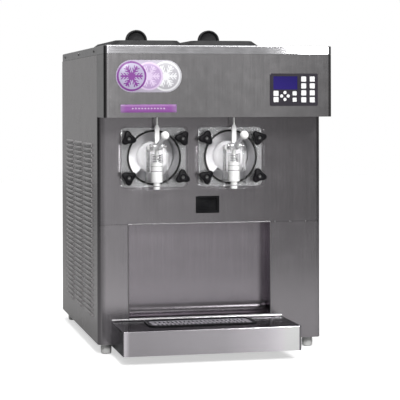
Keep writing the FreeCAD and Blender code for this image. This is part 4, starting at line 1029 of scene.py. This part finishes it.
louvre = {
    "profile": (  # reach out of the sheet and height, in mm
        (0.2, 5.4), (1.2, 5.0), (2.5, 3.7), (3.5, 1.7), (4.15, -0.8), (4.42, -3.2), (4.5, -4.75), (3.9, -4.9),
    ),
    "taper": 1.5, "end": 6, "pitch": louvreRows["pitch"],
    "side": {"columns": louvreRows["columns"], "width": 0.164, "rows": 35, "top": 0.603},
    "rear": {"columns": (-0.130, 0.130), "width": 0.200, "rows": 24, "fromTop": 0.090, "proud": 0.0045},
}


def hoodPoints(facts, width):
    # the reach is the profile's, and falls off over the last stretch at each end as a quarter ellipse:
    # distance past the straight part = taper * sin a, reach factor = cos a
    straight = width / 2 * 1000 + 0.1
    turn = np.linspace(0, math.pi / 2, facts["end"])
    past = straight + facts["taper"] * np.sin(turn)
    along = np.concatenate([-past[::-1], past])
    ends = np.concatenate([np.cos(turn)[::-1], np.cos(turn)])
    profile = np.array(facts["profile"])
    out = profile[:, :1] * ends[None, :]
    up = np.broadcast_to(profile[:, 1:2], out.shape)
    return np.stack([out, np.broadcast_to(along, out.shape), up], -1).reshape(-1, 3) / 1000


def buildHoods(name, hood, centres, outward, lengthwise, faces):
    # every hood is the same points carried to its own centre
    basis = np.array([outward, lengthwise, (0, 0, 1)], float)
    points = (hood @ basis)[None] + np.array(centres)[:, None]
    count = len(hood)
    quads = (np.array(faces)[None] + (np.arange(len(centres)) * count)[:, None, None]).reshape(-1, 4)
    piece = makePiece(name, points.reshape(-1, 3), quads.tolist(), "cabinet")
    piece.data.materials.append(finish["steelLouvre"])


def buildLouvres(facts):
    # column by column and row by row, each row one pitch below the last
    flat = gridFaces(len(facts["profile"]), 2 * facts["end"])
    side = facts["side"]
    hood = hoodPoints(facts, side["width"])
    for sign, label in ((-1, "left"), (1, "right")):
        centres = [(sign * halfWidth, y, side["top"] - row * facts["pitch"])
                   for y in side["columns"] for row in range(side["rows"])]
        faces = flat if sign < 0 else flat[:, ::-1]
        buildHoods("louvreHoods_" + label, hood, centres, (sign, 0, 0), (0, 1, 0), faces)
    rear = facts["rear"]
    hood = hoodPoints(facts, rear["width"])
    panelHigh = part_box("rear_panel")[1]
    backY, top = panelHigh.y - rear["proud"], panelHigh.z - rear["fromTop"]
    centres = [(x, backY, top - row * facts["pitch"]) for x in rear["columns"] for row in range(rear["rows"])]
    buildHoods("louvreHoods_rear", hood, centres, (0, 1, 0), (1, 0, 0), flat)


buildLouvres(louvre)
print("louvres ready")


# floor

floorFacts = {
    "front": -1.9, "back": 9.0, "side": 7.0, "rows": 12, "cols": 12,
    "lit": (0.42, 0.42, 0.42),   # its tint for every ray but the viewer's
    "glow": 0.56,   # light added where the viewer sees it
}


def buildFloor(facts):
    # flat grid at counter level; z = 0 everywhere
    x = np.linspace(-facts["side"], facts["side"], facts["cols"])
    y = np.linspace(facts["front"], facts["back"], facts["rows"])
    gridX, gridY = np.meshgrid(x, y)
    points = np.stack([gridX, gridY, np.zeros_like(gridX)], -1).reshape(-1, 3)
    mesh = bpy.data.meshes.new("studioFloor")
    mesh.from_pydata(points.tolist(), [], gridFaces(facts["rows"], facts["cols"]).tolist())
    floor = bpy.data.objects.new("studioFloor", mesh)
    bpy.context.scene.collection.objects.link(floor)
    material, tree, shader, vector = newMaterial("floorPale")
    speck = addNoise(tree, vector, 3.0, 4, 0.6)
    pale = addMix(tree, speck, (0.90, 0.90, 0.90), (0.86, 0.86, 0.86))
    rays = tree.nodes.new("ShaderNodeLightPath")
    seen = rays.outputs["Is Camera Ray"]
    tree.links.new(addMix(tree, seen, facts["lit"], pale), shader.inputs["Base Color"])
    shader.inputs["Roughness"].default_value = 0.9
    shader.inputs["Emission Color"].default_value = (1, 1, 1, 1)
    tree.links.new(addMath(tree, "MULTIPLY", seen, facts["glow"]), shader.inputs["Emission Strength"])
    mesh.materials.append(material)


buildFloor(floorFacts)


def linkDoorLamp(lampName):
    # the lamp at the side lights only the clear doors and what is seen on and behind them
    collection = bpy.data.collections.new("doorLit")
    starts = (
        "front_door", "auger", "torque_", "spigot_", "handle_ball", "gripBall", "sealRing",
        "freezing_cylinders",
    )
    for item in bpy.data.objects:
        if item.type == "MESH" and item.name.startswith(starts):
            collection.objects.link(item)
    bpy.data.objects[lampName].light_linking.receiver_collection = collection


linkDoorLamp(studio["doorLamp"])

print("scene ready")
